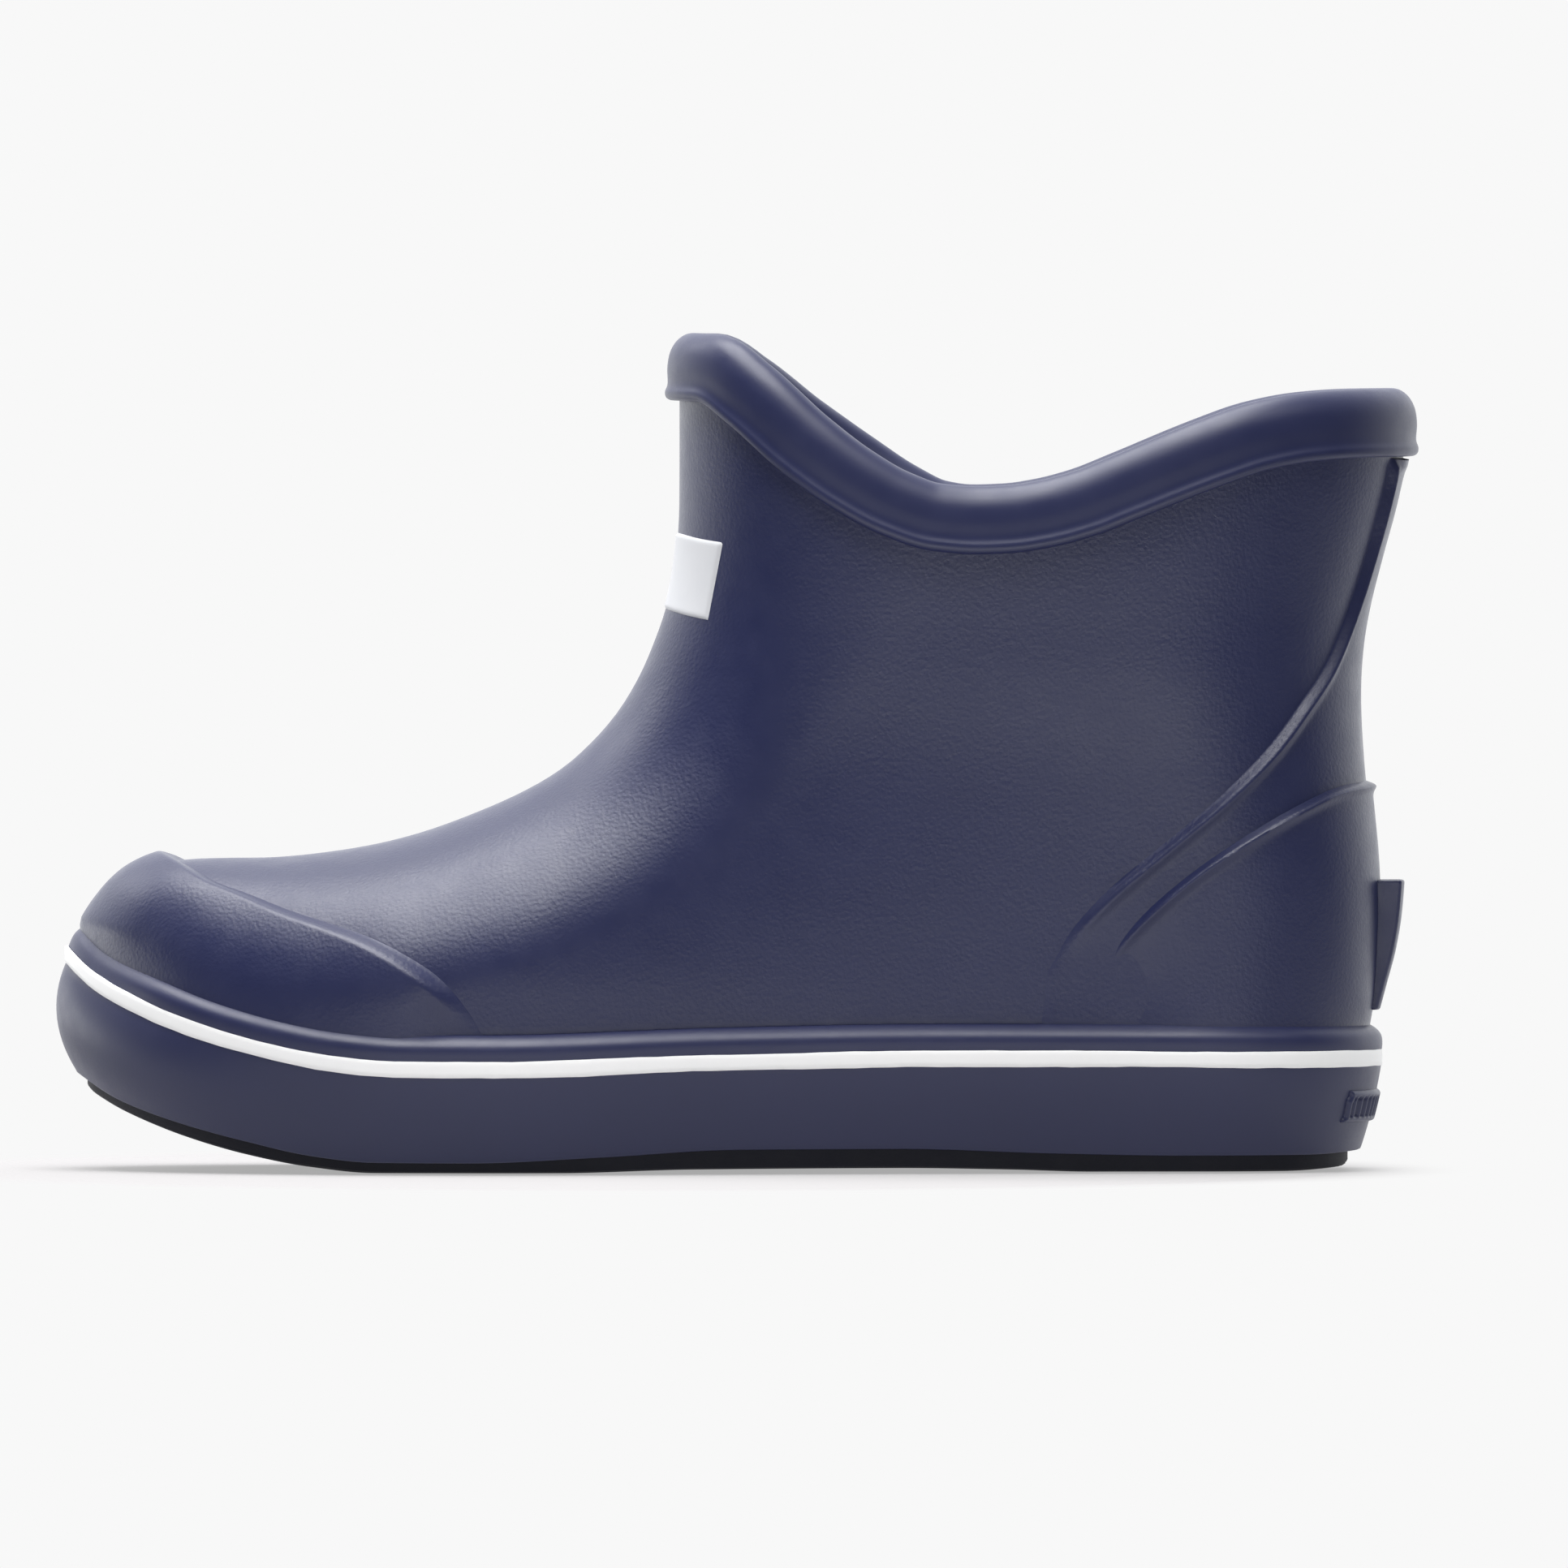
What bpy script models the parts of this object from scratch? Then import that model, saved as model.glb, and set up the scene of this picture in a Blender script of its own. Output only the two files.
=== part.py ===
"""A left ankle deck boot: moulded foam upper, rolled collar, overlays, cupsole, rubber outsole and a footbed that lifts.

The boot stands on Z = 0 with its toe towards -X and its outer (lateral) side towards -Y.
Profiles and thicknesses are in millimetres, and every mesh is written in metres.
"""

import math

import bmesh
import bpy
import numpy as np
from mathutils import Matrix

MM = 0.001

# Thicknesses and clearances.
GAP = 0.3
OVERLAY_GAP = 0.45
STAY_GAP = 0.6
COLLAR_GAP = 0.5
COVER_GAP = 0.6
UPPER_WALL = 3.5
STIFFENER = (4.5, 5.0)
LINING = (5.4, 6.4)
TOE_CAP_THICKNESS = 1.55
STAY_THICKNESS = 0.75
COUNTER_THICKNESS = 1.75
LABEL_THICKNESS = 0.6
OVERLAY_RISE = 0.9
BADGE_THICKNESS = 1.2
BOARD_THICKNESS = 1.5
FOAM_THICKNESS = 4.0
COVER_THICKNESS = 1.0
STRIPE_HEIGHT = 3.8
BEAD_HEIGHT = 4.9
BEAD_TO_STRIPE = 7.3
OUTSOLE_NEST = 1.5

# How far the sole's reference outline stands outside the upper, and the outlines counted from it.
OUTLINE_MARGIN = 1.5
CUP_INNER = -1.0
FEATHER_TUCK = -3.5
BOARD_INSET = -10.2
FOAM_INSET = (-9.9, -8.7)
FLEX_LINE_X = -45.0
FLEX_PIVOT_Z = 24.3

# Mesh density: stations from toe to heel on each side, and rows from the bead to the rim.
STATIONS = 22
ROWS = 12

# The upper's side silhouette (x, z): up the toe, the instep and the front of the shaft.
FRONT = [
    (-146.3, 55.5), (-144.0, 59.0), (-140.5, 63.2), (-136.5, 66.4), (-131.0, 68.8), (-124.0, 70.0),
    (-115.0, 70.3), (-104.7, 70.5), (-93.7, 71.6), (-82.6, 73.4), (-71.6, 76.2), (-60.5, 80.2),
    (-49.5, 85.0), (-40.5, 90.2), (-33.5, 96.2), (-27.4, 103.2), (-22.6, 111.0), (-19.1, 118.9),
    (-16.3, 127.0), (-14.4, 136.0), (-13.4, 146.0), (-13.2, 158.0), (-13.2, 174.3),
]
# Up the back of the heel and the shaft.
BACK = [
    (141.0, 32.6), (142.2, 40.0), (143.0, 50.0), (143.4, 60.0), (143.1, 70.0), (142.2, 80.0),
    (141.2, 90.0), (140.5, 100.0), (140.3, 108.0), (140.6, 115.0), (141.4, 122.0), (143.0, 130.0),
    (145.6, 140.0), (148.2, 149.5), (151.0, 161.7),
]
# Height of the collar's lower edge along the shaft, on the outer side.
RIM = [
    (-13.2, 174.3), (-7.4, 174.0), (-1.3, 169.6), (10.0, 159.0), (21.3, 150.4), (32.6, 144.1),
    (43.8, 140.5), (54.0, 139.7), (62.0, 140.0), (70.8, 141.3), (80.6, 143.9), (90.5, 147.8),
    (110.2, 155.7), (120.0, 159.0), (129.9, 160.8), (139.8, 161.5), (151.0, 161.7),
]
INNER_SIDE_RIM_RISE = 3.0
RIM_DIP_X = (-8.0, 44.0)

# Widths: the foot's half width and centre line along x, and the shaft's half width along z.
FOOT_HALF_WIDTH = [
    (-150.0, 26.0), (-135.0, 34.5), (-115.0, 42.5), (-95.0, 48.2), (-75.0, 51.3), (-55.0, 51.3),
    (-35.0, 49.0), (-10.0, 44.2), (20.0, 39.8), (50.0, 37.2), (90.0, 36.0), (146.0, 35.5),
]
CENTRE_LINE = [
    (-150.0, 9.5), (-135.0, 8.2), (-115.0, 5.2), (-95.0, 2.2), (-75.0, 0.2), (-45.0, -1.2),
    (0.0, -2.4), (45.0, -2.2), (90.0, -0.5), (146.0, 0.0),
]
SHAFT_HALF_WIDTH = [(30.0, 35.5), (60.0, 37.5), (90.0, 39.0), (120.0, 42.0), (145.0, 44.8), (175.0, 47.0)]
ROUNDING_DEPTH = (38.0, 58.0)
ROUNDING_EXPONENT = 2.2

# Heights along the sole: the white stripe's middle, the sidewall's lower lip, the tread's ground
# line and the cup's floor.
STRIPE_LINE = [
    (-148.0, 48.6), (-142.5, 43.2), (-136.0, 39.2), (-126.5, 34.7), (-116.0, 30.8), (-102.5, 27.2),
    (-89.5, 24.8), (-75.0, 23.6), (-57.0, 23.2), (-2.0, 24.4), (45.0, 25.7), (100.0, 25.5), (146.0, 25.3),
]
LIP_LINE = [
    (-148.0, 21.7), (-138.7, 15.8), (-124.7, 10.6), (-110.6, 6.8), (-96.6, 3.8), (-82.4, 2.4), (-61.0, 2.3),
    (-30.0, 3.6), (0.0, 5.2), (37.0, 5.3), (72.0, 4.2), (100.0, 3.7), (130.0, 3.7), (146.0, 4.6),
]
GROUND_LINE = [
    (-148.0, 18.2), (-138.7, 13.2), (-124.7, 7.8), (-110.6, 3.9), (-96.6, 1.3), (-82.0, 0.0), (-40.0, 0.0),
    (-10.0, 0.7), (37.0, 0.9), (62.0, 0.5), (80.0, 0.0), (124.0, 0.0), (136.0, 0.6), (146.0, 1.6),
]
FLOOR_LINE = [
    (-148.0, 31.0), (-135.0, 25.2), (-120.0, 20.6), (-100.0, 17.2), (-75.0, 16.0), (-45.0, 16.0),
    (0.0, 18.0), (40.0, 19.5), (80.0, 20.3), (146.0, 20.5),
]

# Offsets of the sole's outline (heel and sides, then what the toe adds).
STRIPE_OUT = (3.4, 1.3)
LIP_OUT = (-1.1, 1.3)
WALL_BULGE = (0.4, 3.9)
TREAD_OUT = (-4.2, 3.4)
TOE_FLARE_X = (-95.0, -148.0)

# Overlay edges in the side view, from the silhouette to where the edge fades out near the sole.
TOE_CAP_EDGE = [
    (-126.5, 69.7), (-123.5, 68.4), (-117.6, 65.3), (-110.6, 62.9), (-100.1, 59.0), (-89.5, 55.8),
    (-82.4, 53.3), (-75.4, 49.9), (-68.4, 45.6), (-63.5, 41.0), (-59.5, 36.0),
]
STAY_EDGE = [
    (147.5, 161.0), (146.2, 154.0), (143.0, 142.0), (138.5, 128.0), (133.0, 115.0), (127.2, 106.0),
    (119.0, 95.0), (108.0, 84.0), (96.0, 74.0), (84.0, 64.0), (75.0, 54.5), (69.0, 45.0),
]
COUNTER_EDGE = [
    (141.3, 88.6), (134.0, 87.2), (125.0, 83.0), (114.0, 76.5), (102.0, 68.2), (91.0, 58.8),
    (83.5, 50.0), (79.0, 41.5),
]
LABEL_LOW = [(-16.3, 126.8), (-15.0, 126.4), (-11.5, 125.4), (-6.6, 124.4)]
LABEL_HIGH = [(-13.5, 144.2), (-12.3, 143.9), (-8.6, 143.0), (-3.2, 142.1)]

# Collar section: (outwards, upwards) from the upper's top edge.
COLLAR_SECTION = [
    (1.9, 0.0), (2.8, 3.6), (2.6, 8.2), (1.3, 12.0), (-1.6, 14.8), (-4.9, 14.8), (-7.4, 11.6),
    (-8.1, 7.0), (-7.5, 0.0),
]

# The ledge on the heel that the other foot pushes down to take the boot off.
TAB_TOP_Z = 65.4
TAB_FOOT_Z = 36.6
TAB_HALF_WIDTH = (6.0, 9.0)
TAB_PROFILE = [(36.6, 145.4), (42.0, 147.5), (50.0, 149.4), (58.0, 150.8), (65.4, 151.5)]
TAB_STANDOFF = 3.65

BADGE_Z = (10.6, 18.4)
BADGE_HALF_WIDTH = 24.0

CUP_RISE = 5.5

COLOURS = {
    "navy_foam": ((0.034, 0.038, 0.092), 0.46),
    "white_rubber": ((0.80, 0.80, 0.80), 0.50),
    "outsole_rubber": ((0.016, 0.018, 0.034), 0.62),
    "lining_knit": ((0.10, 0.11, 0.14), 0.95),
    "board_fibre": ((0.42, 0.36, 0.27), 0.90),
    "footbed_foam": ((0.05, 0.06, 0.10), 0.85),
    "footbed_knit": ((0.16, 0.18, 0.24), 0.95),
    "label_white": ((0.78, 0.78, 0.79), 0.45),
}


def clear_scene():
    for obj in list(bpy.data.objects):
        bpy.data.objects.remove(obj)


def material(slot):
    made = bpy.data.materials.get(slot)
    if made is None:
        colour, roughness = COLOURS[slot]
        made = bpy.data.materials.new(slot)
        made.use_nodes = True
        shader = made.node_tree.nodes["Principled BSDF"]
        shader.inputs["Base Color"].default_value = (*colour, 1.0)
        shader.inputs["Roughness"].default_value = roughness
        shader.inputs["Metallic"].default_value = 0.0
    return made


# ---------------------------------------------------------------- curves


def smoothstep(x, low, high):
    t = np.clip((np.asarray(x, float) - low) / (high - low), 0.0, 1.0)
    return t * t * (3.0 - 2.0 * t)


def height(knots, x):
    """A smooth line through (x, value) knots that never overshoots them."""
    knot_x, knot_y = np.array(knots, float).T
    step = np.diff(knot_x)
    slope = np.diff(knot_y) / step
    tangent = np.zeros(len(knot_x))
    same_way = slope[1:] * slope[:-1] > 0
    tangent[1:-1] = np.where(same_way, 2 * slope[1:] * slope[:-1] / (slope[1:] + slope[:-1] + 1e-12), 0.0)
    tangent[0], tangent[-1] = slope[0], slope[-1]
    x = np.clip(x, knot_x[0], knot_x[-1])
    i = np.clip(np.searchsorted(knot_x, x, side="right") - 1, 0, len(step) - 1)
    t = (x - knot_x[i]) / step[i]
    return (
        (1 + 2 * t) * (1 - t) ** 2 * knot_y[i]
        + t * (1 - t) ** 2 * step[i] * tangent[i]
        + t * t * (3 - 2 * t) * knot_y[i + 1]
        + t * t * (t - 1) * step[i] * tangent[i + 1]
    )


def smooth_path(points, per_span=12):
    """A dense Catmull-Rom path through the points."""
    p = np.array(points, float)
    p = np.vstack([2 * p[0] - p[1], p, 2 * p[-1] - p[-2]])
    t = np.linspace(0, 1, per_span, endpoint=False)[:, None]
    spans = [
        0.5
        * (
            2 * p[i]
            + (p[i + 1] - p[i - 1]) * t
            + (2 * p[i - 1] - 5 * p[i] + 4 * p[i + 1] - p[i + 2]) * t**2
            + (3 * p[i] - p[i - 1] - 3 * p[i + 1] + p[i + 2]) * t**3
        )
        for i in range(1, len(p) - 2)
    ]
    return np.vstack([*spans, p[-2:-1]])


def along(path, share):
    """Points at these shares of a path's length."""
    length = np.concatenate([[0], np.cumsum(np.linalg.norm(np.diff(path, axis=0), axis=1))])
    at = np.asarray(share, float) * length[-1]
    return np.stack([np.interp(at, length, path[:, k]) for k in range(path.shape[1])], axis=-1)


def part_of(path, low_z, high_z):
    """The stretch of a rising path between two heights, ends included."""
    ends = [[np.interp(z, path[:, 1], path[:, 0]), z] for z in (low_z, high_z)]
    inside = path[(path[:, 1] > low_z) & (path[:, 1] < high_z)]
    return np.vstack([ends[:1], inside, ends[1:]])


FRONT_PATH = smooth_path(FRONT)
BACK_PATH = smooth_path(BACK)
FRONT_EDGE = np.vstack([[-141.0, -20.0], FRONT_PATH, [-13.2, 240.0]])
BACK_EDGE = np.vstack([[139.0, -20.0], BACK_PATH, [160.0, 200.0]])


# ---------------------------------------------------------------- the upper's surface


def distance_to(path, points):
    """Distance of each (x, z) point from a path."""
    start, run = path[:-1], np.diff(path, axis=0)
    to_start = points[:, None, :] - start[None]
    t = np.clip((to_start * run).sum(2) / (run * run).sum(1), 0, 1)
    return np.linalg.norm(to_start - t[..., None] * run, axis=2).min(1)


def rounding_depth(z):
    low, high = ROUNDING_DEPTH
    return low + (high - low) * smoothstep(z, 62.0, 150.0)


def full_half_width(x, z):
    """Half width of the boot away from its rounded front, top and back."""
    shaft_share = smoothstep(z, 40.0, 115.0)
    return height(FOOT_HALF_WIDTH, x) * (1 - shaft_share) + height(SHAFT_HALF_WIDTH, z) * shaft_share


def half_width(x, z):
    points = np.stack([x, z], axis=-1)
    depth = np.minimum(distance_to(FRONT_EDGE, points), distance_to(BACK_EDGE, points))
    share = np.clip(depth / rounding_depth(z), 0, 1)
    roundness = (1 - (1 - share) ** ROUNDING_EXPONENT) ** (1 / ROUNDING_EXPONENT)
    return full_half_width(x, z) * roundness


def centre_y(x, z):
    return height(CENTRE_LINE, x) * (1 - smoothstep(z, 55.0, 125.0))


def surface(side_points, side):
    """3-D points of the upper over (x, z) points, on side -1 (outer) or +1 (inner)."""
    x, z = side_points[..., 0].ravel(), side_points[..., 1].ravel()
    y = centre_y(x, z) + side * half_width(x, z)
    return np.stack([x, y, z], axis=-1).reshape(*side_points.shape[:-1], 3)


def coons(left, right, bottom, top):
    """A patch between four edges. left and right hold one point a row, bottom and top one a column."""
    v = np.linspace(0, 1, len(left))[:, None, None]
    u = shares_along(bottom) * (1 - v) + shares_along(top) * v
    across = left[:, None] * (1 - u) + right[:, None] * u
    up = bottom[None] * (1 - v) + top[None] * v
    corners = (
        bottom[0] * (1 - u) * (1 - v) + bottom[-1] * u * (1 - v) + top[0] * (1 - u) * v + top[-1] * u * v
    )
    return across + up - corners


def shares_along(edge):
    """Each point's share of the way along its edge."""
    run = np.concatenate([[0], np.cumsum(np.linalg.norm(np.diff(edge, axis=0), axis=1))])
    return (run / run[-1])[None, :, None]


def bead_height(x):
    return height(STRIPE_LINE, x) + BEAD_TO_STRIPE


def rim_height(x, side):
    low, high = RIM_DIP_X
    middle = (low + high) / 2
    rise = smoothstep(x, low, middle) * (1 - smoothstep(x, middle, high))
    return height(RIM, x) + (INNER_SIDE_RIM_RISE * rise if side > 0 else 0.0)


def ring_of(outer_half, inner_half):
    """One closed ring: down the outer side from toe to heel, and back along the inner side."""
    return np.concatenate([outer_half, inner_half[-2:0:-1]])


def upper_rings():
    """The upper's rings from the bead to the rim, as an array [row, place in ring, xyz]."""
    share = (1 - np.cos(np.pi * np.arange(STATIONS + 1) / STATIONS)) / 2
    rows = np.linspace(0, 1, ROWS + 1)
    left, right = along(FRONT_PATH, rows), along(BACK_PATH, rows)
    low_x = left[0, 0] + (right[0, 0] - left[0, 0]) * share
    top_x = left[-1, 0] + (right[-1, 0] - left[-1, 0]) * share
    # The bead line is bent at its ends to meet the silhouettes.
    low_z = bead_height(low_x) + (left[0, 1] - bead_height(low_x[0])) * (1 - smoothstep(low_x, -147, -120))
    low_z += (right[0, 1] - bead_height(low_x[-1])) * smoothstep(low_x, 90, 141)
    bottom = np.stack([low_x, low_z], axis=-1)
    halves = []
    for side in (-1, 1):
        top = np.stack([top_x, rim_height(top_x, side)], axis=-1)
        patch = coons(left, right, bottom, top)
        halves.append(surface(patch, side))
    return np.array([ring_of(outer, inner) for outer, inner in zip(*halves)])


def ring_tangents(rings):
    ahead = np.roll(rings, -1, axis=-2) - rings
    behind = rings - np.roll(rings, 1, axis=-2)
    ahead /= np.linalg.norm(ahead, axis=-1, keepdims=True)
    behind /= np.linalg.norm(behind, axis=-1, keepdims=True)
    tangent = ahead + behind
    return tangent / np.linalg.norm(tangent, axis=-1, keepdims=True)


def unit(v):
    return v / np.linalg.norm(v, axis=-1, keepdims=True)


def ring_normals(rings):
    """Outward normals of a stack of rings."""
    return unit(np.cross(ring_tangents(rings), np.gradient(rings, axis=0)))


def plan_normals(ring):
    """Outward normals of a ring as seen from above."""
    tangent = ring_tangents(ring * [1, 1, 0])
    return np.stack([tangent[:, 1], -tangent[:, 0], 0 * tangent[:, 0]], axis=-1)


def outline(ring, outward, heights):
    """The plan ring moved outwards, at heights from a function of the ring's own x.

    Stations that face each other across the boot share a height.
    """
    moved = ring + plan_normals(ring) * np.reshape(outward, (-1, 1))
    facing = np.roll(ring[::-1, 0], 1)
    moved[:, 2] = heights((ring[:, 0] + facing) / 2)
    return moved


# ---------------------------------------------------------------- meshes


def add_object(name, points, faces, slot):
    """A closed mesh object from points in millimetres, faces pointing out."""
    bm = bmesh.new()
    verts = [bm.verts.new(p * MM) for p in np.asarray(points, float).reshape(-1, 3)]
    for face in faces:
        bm.faces.new([verts[i] for i in face])
    bmesh.ops.recalc_face_normals(bm, faces=bm.faces)
    mesh = bpy.data.meshes.new(name)
    bm.to_mesh(mesh)
    bm.free()
    mesh.shade_smooth()
    mesh.set_sharp_from_angle(angle=math.radians(40))
    mesh.materials.append(material(slot))
    obj = bpy.data.objects.new(name, mesh)
    bpy.context.scene.collection.objects.link(obj)
    return obj


def ring_faces(count, size, loop):
    """Quads between neighbouring rings, and from the last to the first when loop is set."""
    faces = []
    for j in range(count if loop else count - 1):
        a, b = j * size, (j + 1) % count * size
        faces += [(a + k, a + (k + 1) % size, b + (k + 1) % size, b + k) for k in range(size)]
    return faces


def cap_faces(first, size):
    """A ring filled straight across, station to facing station."""
    half = size // 2
    faces = [(first, first + 1, first + size - 1)]
    faces += [
        (first + i, first + i + 1, first + size - i - 1, first + size - i) for i in range(1, half - 1)
    ]
    return faces + [(first + half - 1, first + half, first + half + 1)]


def ring_solid(name, rings, slot, loop=False):
    """A solid from a stack of rings: capped at both ends, or closed on itself as a hoop."""
    rings = np.array(rings)
    count, size = rings.shape[:2]
    faces = ring_faces(count, size, loop)
    if not loop:
        faces += cap_faces(0, size) + cap_faces((count - 1) * size, size)
    return add_object(name, rings, faces, slot)


def sheet_solid(name, outside, inside, slot):
    """A thick patch between two grids of points of the same size."""
    rows, columns = outside.shape[:2]
    size = rows * columns
    faces = []
    for j in range(rows - 1):
        for k in range(columns - 1):
            corner = j * columns + k
            quad = (corner, corner + 1, corner + columns + 1, corner + columns)
            faces += [quad, tuple(size + i for i in quad)]
    border = list(range(columns))
    border += [j * columns + columns - 1 for j in range(1, rows)]
    border += [(rows - 1) * columns + k for k in range(columns - 2, -1, -1)]
    border += [j * columns for j in range(rows - 2, 0, -1)]
    for a, b in zip(border, border[1:] + border[:1]):
        faces.append((a, b, size + b, size + a))
    return add_object(name, np.concatenate([outside.reshape(-1, 3), inside.reshape(-1, 3)]), faces, slot)


# ---------------------------------------------------------------- overlays


def wrapped_grid(ridge, far, low, high, columns):
    """A grid that wraps round the boot's front or back: outer side, across the ridge, inner side.

    ridge and far hold one point a row, and low and high are paths from the ridge to the far end.
    Columns crowd towards the ridge, where the surface turns fastest.
    """
    share = 1 - np.cos(np.pi / 2 * np.arange(columns + 1) / columns)
    patch = coons(ridge, far, along(low, share), along(high, share))
    outer, inner = surface(patch, -1), surface(patch, 1)
    return np.concatenate([outer[:, ::-1], inner[:, 1:]], axis=1)


def grid_normals(grid):
    """Outward normals of a grid whose columns run from the outer side round to the inner side."""
    normal = unit(np.cross(np.gradient(grid, axis=1), np.gradient(grid, axis=0)))
    return normal * -np.sign(normal[:, 0, 1].sum())


def overlay(name, grid, inner, outer, slot):
    normal = grid_normals(grid)
    return sheet_solid(name, grid + normal * outer, grid + normal * inner, slot)


def overlay_base(bead_ring, x):
    """The (x, z) path where overlays end, just clear of the bead."""
    outer = bead_ring[: STATIONS + 1]
    return np.stack([x, np.interp(x, outer[:, 0], outer[:, 2]) + OVERLAY_RISE], axis=-1)


def make_toe_cap(bead_ring):
    edge = smooth_path(TOE_CAP_EDGE)
    low = overlay_base(bead_ring, np.linspace(FRONT[0][0], edge[-1, 0], 40))
    low[0, 0] = np.interp(low[0, 1], FRONT_PATH[:30, 1], FRONT_PATH[:30, 0])
    climb = FRONT_PATH[(FRONT_PATH[:, 0] < edge[0, 0]) & (FRONT_PATH[:, 1] > low[0, 1])]
    ridge = along(np.vstack([low[:1], climb, edge[:1]]), np.linspace(0, 1, 8))
    far = along(np.array([low[-1], edge[-1]]), np.linspace(0, 1, 8))
    grid = wrapped_grid(ridge, far, low, edge, 11)
    overlay("toe_cap", grid, OVERLAY_GAP, OVERLAY_GAP + TOE_CAP_THICKNESS, "navy_foam")


def make_back_stay(bead_ring):
    """The stay's rows run from the ridge of the heel to its long slanting edge."""
    edge = smooth_path(STAY_EDGE)
    low = overlay_base(bead_ring, np.linspace(BACK[0][0], edge[-1, 0], 40))
    rows = np.linspace(0, 1, 15)
    ridge = along(part_of(BACK_PATH, low[0, 1], edge[0, 1]), rows)
    low[0] = ridge[0]
    far = along(np.vstack([low[-1:], edge[::-1]]), rows)
    grid = wrapped_grid(ridge, far, low, np.array([ridge[-1], edge[0]]), 9)
    overlay("back_stay", grid, STAY_GAP, STAY_GAP + STAY_THICKNESS, "navy_foam")


def make_heel_counter(bead_ring):
    edge = smooth_path(COUNTER_EDGE)
    low = overlay_base(bead_ring, np.linspace(BACK[0][0], edge[-1, 0], 40))
    rows = np.linspace(0, 1, 7)
    ridge = along(part_of(BACK_PATH, low[0, 1], edge[0, 1]), rows)
    low[0], edge[0] = ridge[0], ridge[-1]
    far = along(np.array([low[-1], edge[-1]]), rows)
    grid = wrapped_grid(ridge, far, low, edge, 9)
    inner = STAY_GAP + STAY_THICKNESS + OVERLAY_GAP
    overlay("heel_counter", grid, inner, inner + COUNTER_THICKNESS, "navy_foam")


def make_label():
    low, high = smooth_path(LABEL_LOW), smooth_path(LABEL_HIGH)
    rows = np.linspace(0, 1, 6)
    ridge = along(part_of(FRONT_PATH, low[0, 1], high[0, 1]), rows)
    far = along(np.array([low[-1], high[-1]]), rows)
    grid = wrapped_grid(ridge, far, low, high, 6)
    overlay("front_label", grid, STAY_GAP, STAY_GAP + LABEL_THICKNESS, "label_white")


def make_kick_tab():
    """The ledge: its inside follows the heel counter, and its top is flat."""
    rows = np.linspace(TAB_FOOT_Z, TAB_TOP_Z, 6)
    outside, inside = [], []
    for z in rows:
        rise = (z - TAB_FOOT_Z) / (TAB_TOP_Z - TAB_FOOT_Z)
        half = TAB_HALF_WIDTH[0] + (TAB_HALF_WIDTH[1] - TAB_HALF_WIDTH[0]) * rise
        y = np.linspace(-half, half, 7)
        back_x = np.interp(z, BACK_PATH[:, 1], BACK_PATH[:, 0])
        width = full_half_width(np.array([back_x]), np.array([z]))[0] + TAB_STANDOFF
        flat = (1 - (np.abs(y) / width) ** ROUNDING_EXPONENT) ** (1 / ROUNDING_EXPONENT)
        recess = (rounding_depth(z) + TAB_STANDOFF) * (1 - flat)
        near = back_x + TAB_STANDOFF - recess
        far = height(TAB_PROFILE, z) - 0.6 * (y / half) ** 2
        inside.append(np.stack([near, y, np.full(7, z)], axis=-1))
        outside.append(np.stack([np.maximum(far, near + 0.8), y, np.full(7, z)], axis=-1))
    sheet_solid("kick_tab", np.array(outside), np.array(inside), "navy_foam")


# ---------------------------------------------------------------- the upper, its lining and collar


def lower_rings(bead_ring, reference):
    """The upper's two rings inside the cupsole, below the bead."""
    foot = outline(reference, FEATHER_TUCK, lambda x: height(FLOOR_LINE, x) + 2 * GAP)
    knee = outline(reference, -1.8, lambda x: height(FLOOR_LINE, x) + 5.0)
    knee[:, 2] = np.minimum(knee[:, 2], bead_ring[:, 2] - 3.0)
    return np.array([foot, knee])


def make_upper(rings, normals):
    outside = rings
    inside = rings - normals * UPPER_WALL
    ring_solid("upper_shell", np.concatenate([outside, inside[::-1]]), "navy_foam", loop=True)


def make_lining(rings, normals):
    outside = rings - normals * LINING[0]
    inside = rings - normals * LINING[1]
    ring_solid("lining", np.concatenate([outside, inside[::-1]]), "lining_knit", loop=True)


def make_stiffener(name, rings, normals, rows, places):
    """A thin shell between upper and lining, over some rows and ring places of the upper's own grid."""
    size = rings.shape[1]
    picked = np.array([place % size for place in places])
    part, normal = rings[rows][:, picked], normals[rows][:, picked]
    sheet_solid(name, part - normal * STIFFENER[0], part - normal * STIFFENER[1], "board_fibre")


def rim_outward(top_ring, normal):
    """The level direction away from the rim, square to the rim line."""
    tangent = ring_tangents(top_ring)
    level = unit(normal * [1, 1, 0.15])
    return unit(level - tangent * (level * tangent).sum(1, keepdims=True))


def make_collar(top_ring, outward):
    upward = np.cross(outward, ring_tangents(top_ring))
    section = [top_ring + outward * out + upward * (up + COLLAR_GAP) for out, up in COLLAR_SECTION]
    ring_solid("topline_collar", section, "navy_foam", loop=True)


# ---------------------------------------------------------------- the sole


def toe_share(ring):
    return smoothstep(-ring[:, 0], -TOE_FLARE_X[0], -TOE_FLARE_X[1])


def flared(ring, amounts):
    return amounts[0] + amounts[1] * toe_share(ring)


def stripe_edge(x, above):
    return height(STRIPE_LINE, x) + above


def wall_ring(reference, share):
    """A ring of the sidewall's outside, from its lip (0) to the stripe (1)."""
    lip, stripe = flared(reference, LIP_OUT), flared(reference, STRIPE_OUT)
    out = lip + (stripe - lip) * share + flared(reference, WALL_BULGE) * 4 * share * (1 - share)

    def wall_height(x):
        low, high = height(LIP_LINE, x) + 0.8, stripe_edge(x, -STRIPE_HEIGHT / 2 - GAP - 0.5)
        return low + (high - low) * share

    return outline(reference, out, wall_height)


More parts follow.
